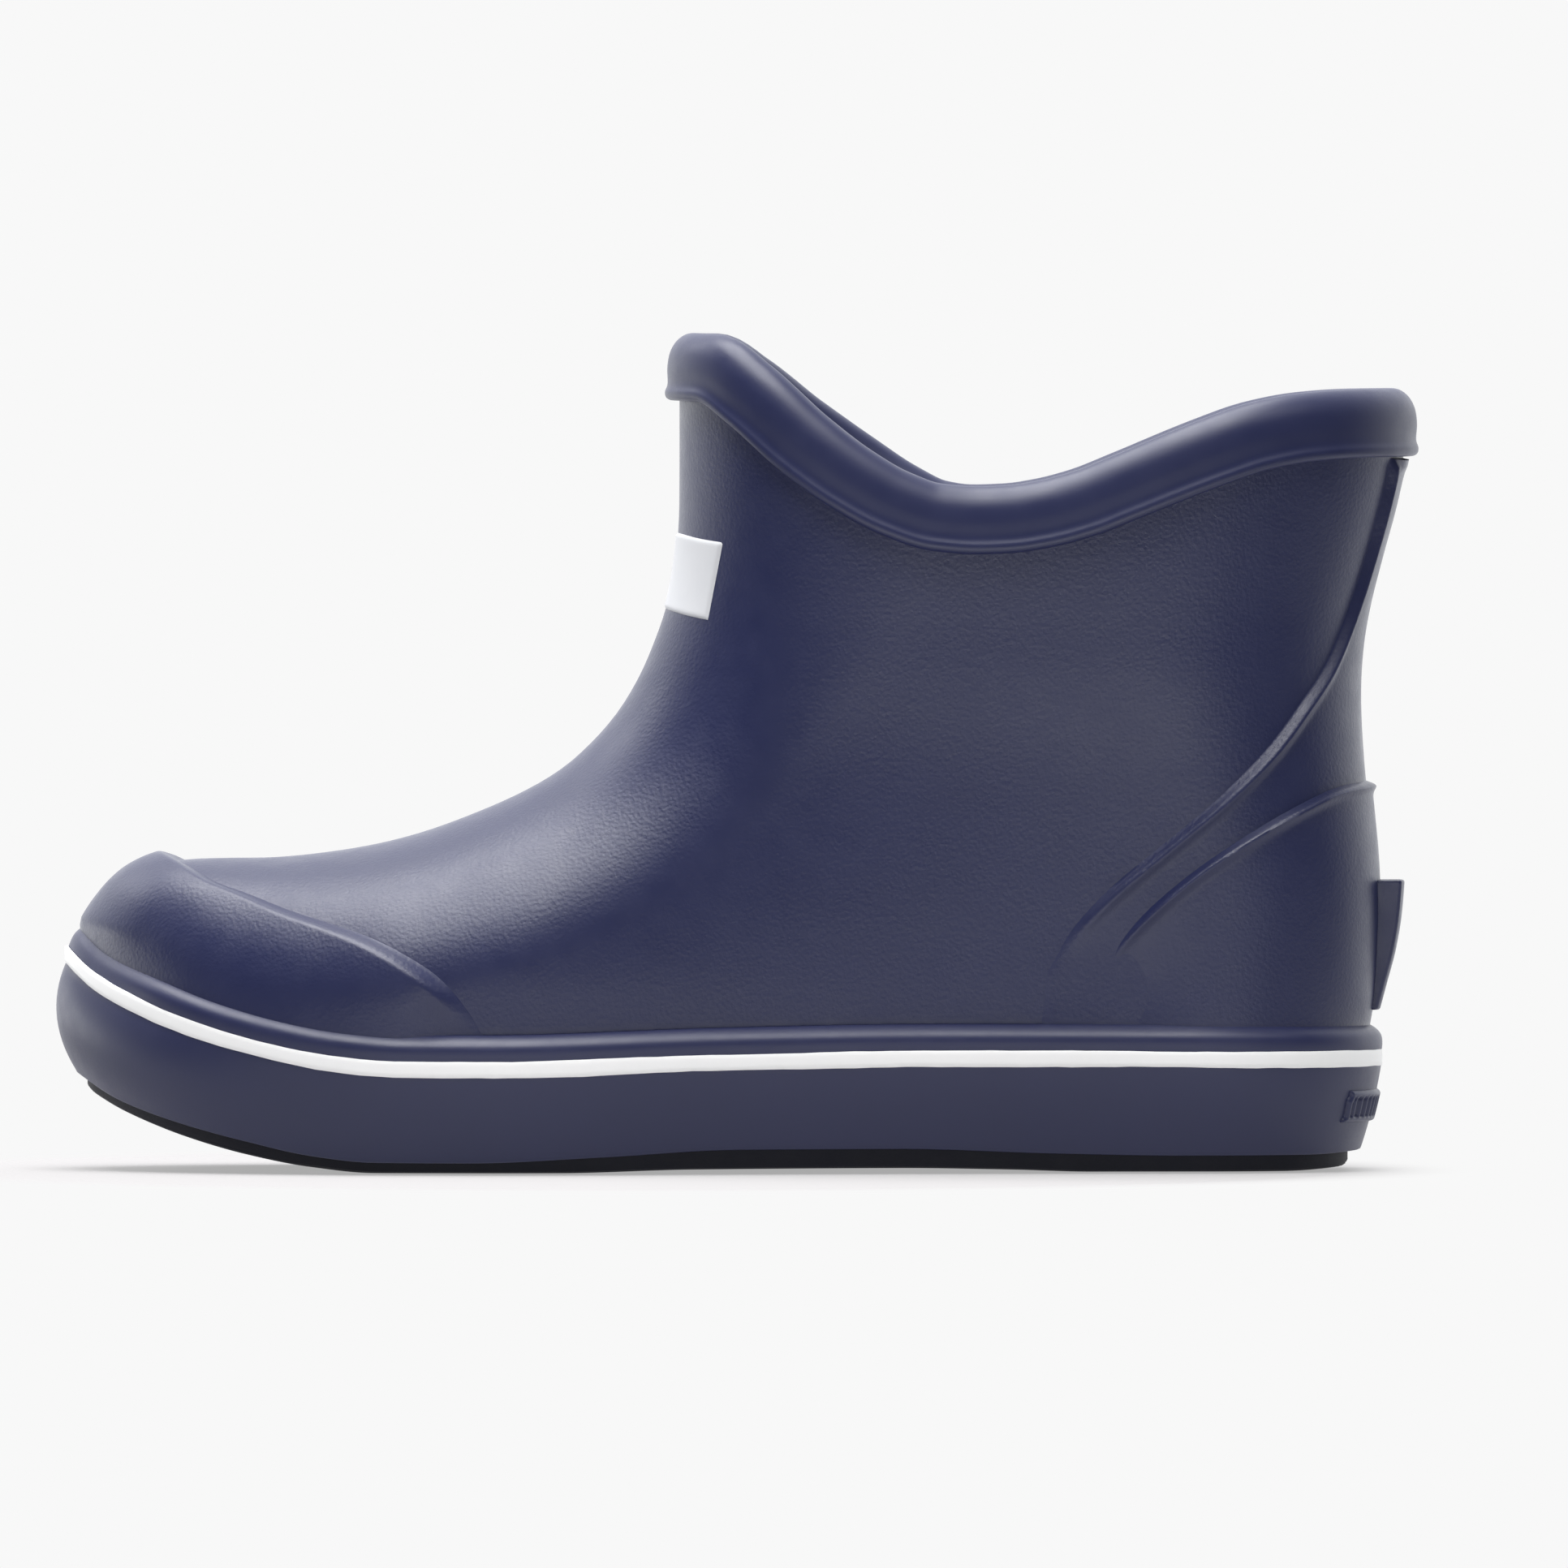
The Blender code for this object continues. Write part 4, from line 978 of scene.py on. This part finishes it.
def bed_grid(reference, inset, up, crown):
    """A layer of the footbed as a grid over its outline: flat in the middle, turned up round its edge."""
    rim = outline(reference, inset, lambda x: 0 * x)
    share = (1 - np.cos(np.pi * np.linspace(0, 1, 120))) / 2
    across = (1 - np.cos(np.pi * np.linspace(0, 1, 48))) / 2
    x = rim[:, 0].min() + 0.02 + (np.ptp(rim[:, 0]) - 0.04) * share
    xs, ys, away = fill_outline(rim, x, across)
    turned = 1 - smoothstep(away, 0.0, 11.0)
    rounded = crown * (1 - np.sqrt(np.clip(away / 1.5, 0, 1)))
    return np.stack([xs, ys, height(FLOOR_LINE, xs) + up + cup_rise(xs) * turned - rounded], axis=-1)


def make_footbed(reference):
    """Foam with a knit cover. Both are whole, one piece each across the hinge."""
    top, low = bed_grid(reference, -8.8, 6.4, 0.5), bed_grid(reference, -9.6, 2.5, -0.6)
    nodes = ["footbed_forefoot", "footbed_rear"]
    bed = sheet_piece("footbed_foam_pad", top, low, FOAM, nodes, None)
    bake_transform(bed)
    top, low = bed_grid(reference, -8.6, 7.6, 0.6), bed_grid(reference, -8.6, 6.5, 0.5)
    nodes = ["footbed_cover_forefoot", "footbed_cover_rear"]
    cover = sheet_piece("footbed_knit_cover", top, low, COVER, nodes, None)
    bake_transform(cover)


# ---------------------------------------------------------------- floor, light and camera


def make_floor():
    """A pale floor that melts into the pale background away from the boot."""
    material = bpy.data.materials.new("floor_pale")
    n = Nodes(material)
    place = n.add("ShaderNodeTexCoord").outputs["Object"]
    mapping = {"Vector": place, "Location": FLOOR_FADE_SHIFT, "Scale": FLOOR_FADE_SHAPE}
    oval = n.add("ShaderNodeMapping", mapping).outputs["Vector"]
    far = n.add("ShaderNodeVectorMath", {0: oval}, operation="LENGTH").outputs["Value"]
    ends = {"Value": far, "From Min": FLOOR_FADE[0], "From Max": FLOOR_FADE[1], "To Min": 0.0, "To Max": 1.0}
    fade = n.add("ShaderNodeMapRange", ends, interpolation_type="SMOOTHERSTEP").outputs["Result"]
    near = n.add("ShaderNodeBsdfDiffuse", {"Color": (*FLOOR_COLOUR, 1.0)}).outputs[0]
    glow = n.math("MAXIMUM", fade, FLOOR_GLOW)
    white = n.add("ShaderNodeEmission", {"Color": (*BACKGROUND, 1.0), "Strength": 1.0}).outputs[0]
    mix = n.add("ShaderNodeMixShader", {0: glow, 1: near, 2: white})
    n.add("ShaderNodeOutputMaterial", {"Surface": mix.outputs[0]})
    mesh = bpy.data.meshes.new("floor")
    turns = np.linspace(0, 2 * np.pi, 96, endpoint=False)
    rim = [(FLOOR_RADIUS * math.cos(t), FLOOR_RADIUS * math.sin(t), FLOOR_Z) for t in turns]
    mesh.from_pydata(rim, [], [tuple(range(len(rim)))])
    mesh.materials.append(material)
    floor = bpy.data.objects.new("floor", mesh)
    bpy.context.scene.collection.objects.link(floor)


def make_world():
    """Pale all round for camera rays. The boot reflects a studio that is darker on its outer side."""
    world = bpy.data.worlds.new("studio")
    bpy.context.scene.world = world
    n = Nodes(world)
    direction = n.add("ShaderNodeTexCoord").outputs["Generated"]
    axes = n.add("ShaderNodeSeparateXYZ", {"Vector": direction})
    back = n.spread(axes.outputs["Y"], -0.08, 0.6, 0.12, 1.5)
    light = n.add("ShaderNodeBackground", {"Color": (0.97, 0.985, 1.0, 1.0), "Strength": back}).outputs[0]
    seen = n.add("ShaderNodeBackground", {"Color": (*BACKGROUND, 1.0), "Strength": 1.0}).outputs[0]
    camera_ray = n.add("ShaderNodeLightPath").outputs["Is Camera Ray"]
    mix = n.add("ShaderNodeMixShader", {0: camera_ray, 1: light, 2: seen})
    n.add("ShaderNodeOutputWorld", {"Surface": mix.outputs[0]})


def area_light(name, place, target, size, power):
    light = bpy.data.lights.new(name, "AREA")
    light.shape = "RECTANGLE"
    light.size, light.size_y = size
    light.energy = power
    obj = bpy.data.objects.new(name, light)
    bpy.context.scene.collection.objects.link(obj)
    obj.location = place
    obj.visible_camera = False
    obj.rotation_euler = (Vector(target) - Vector(place)).to_track_quat("-Z", "Y").to_euler()


def make_camera():
    """A long lens on the outer side, looking slightly down."""
    camera = bpy.data.cameras.new("camera")
    camera.sensor_width = 36.0
    camera.lens = camera.sensor_width * CAMERA_DISTANCE / CAMERA_SEEN_WIDTH
    camera.clip_end = 50.0
    obj = bpy.data.objects.new("camera", camera)
    bpy.context.scene.collection.objects.link(obj)
    aim_x, aim_z = CAMERA_AIM
    back, rise = CAMERA_DISTANCE * math.cos(CAMERA_TILT), CAMERA_DISTANCE * math.sin(CAMERA_TILT)
    obj.location = (aim_x, -back, aim_z + rise)
    obj.rotation_euler = (math.radians(90.0) - CAMERA_TILT, 0.0, 0.0)
    bpy.context.scene.camera = obj


def make_studio():
    make_world()
    make_floor()
    for light in LIGHTS:
        area_light(*light)
    make_camera()
    bpy.context.scene.view_settings.view_transform = "Standard"


def main():
    rings = upper_rings()
    reference = outline(rings[0], OUTLINE_MARGIN, lambda x: 0 * x)
    normals = ring_normals(rings)
    normals[0] = unit(normals[0] + plan_normals(reference))
    outward = rim_outward(rings[-1], normals[-1])
    normals[-1] = outward

    make_upper(rings, normals)
    make_lining(rings, normals, reference)
    make_collar(rings[-1], outward)
    make_toe_cap(rings[0])
    make_back_stay(rings[0])
    make_heel_counter(rings[0])
    make_label()
    make_kick_tab()
    make_sidewall(reference)
    make_bead(reference)
    make_stripe(reference)
    make_outsole(reference)
    make_badge(reference)
    make_footbed(reference)
    for name in ("toe_puff", "heel_stiffener", "insole_board"):
        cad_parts[name].data.materials[0] = BOARD
    make_studio()


main()
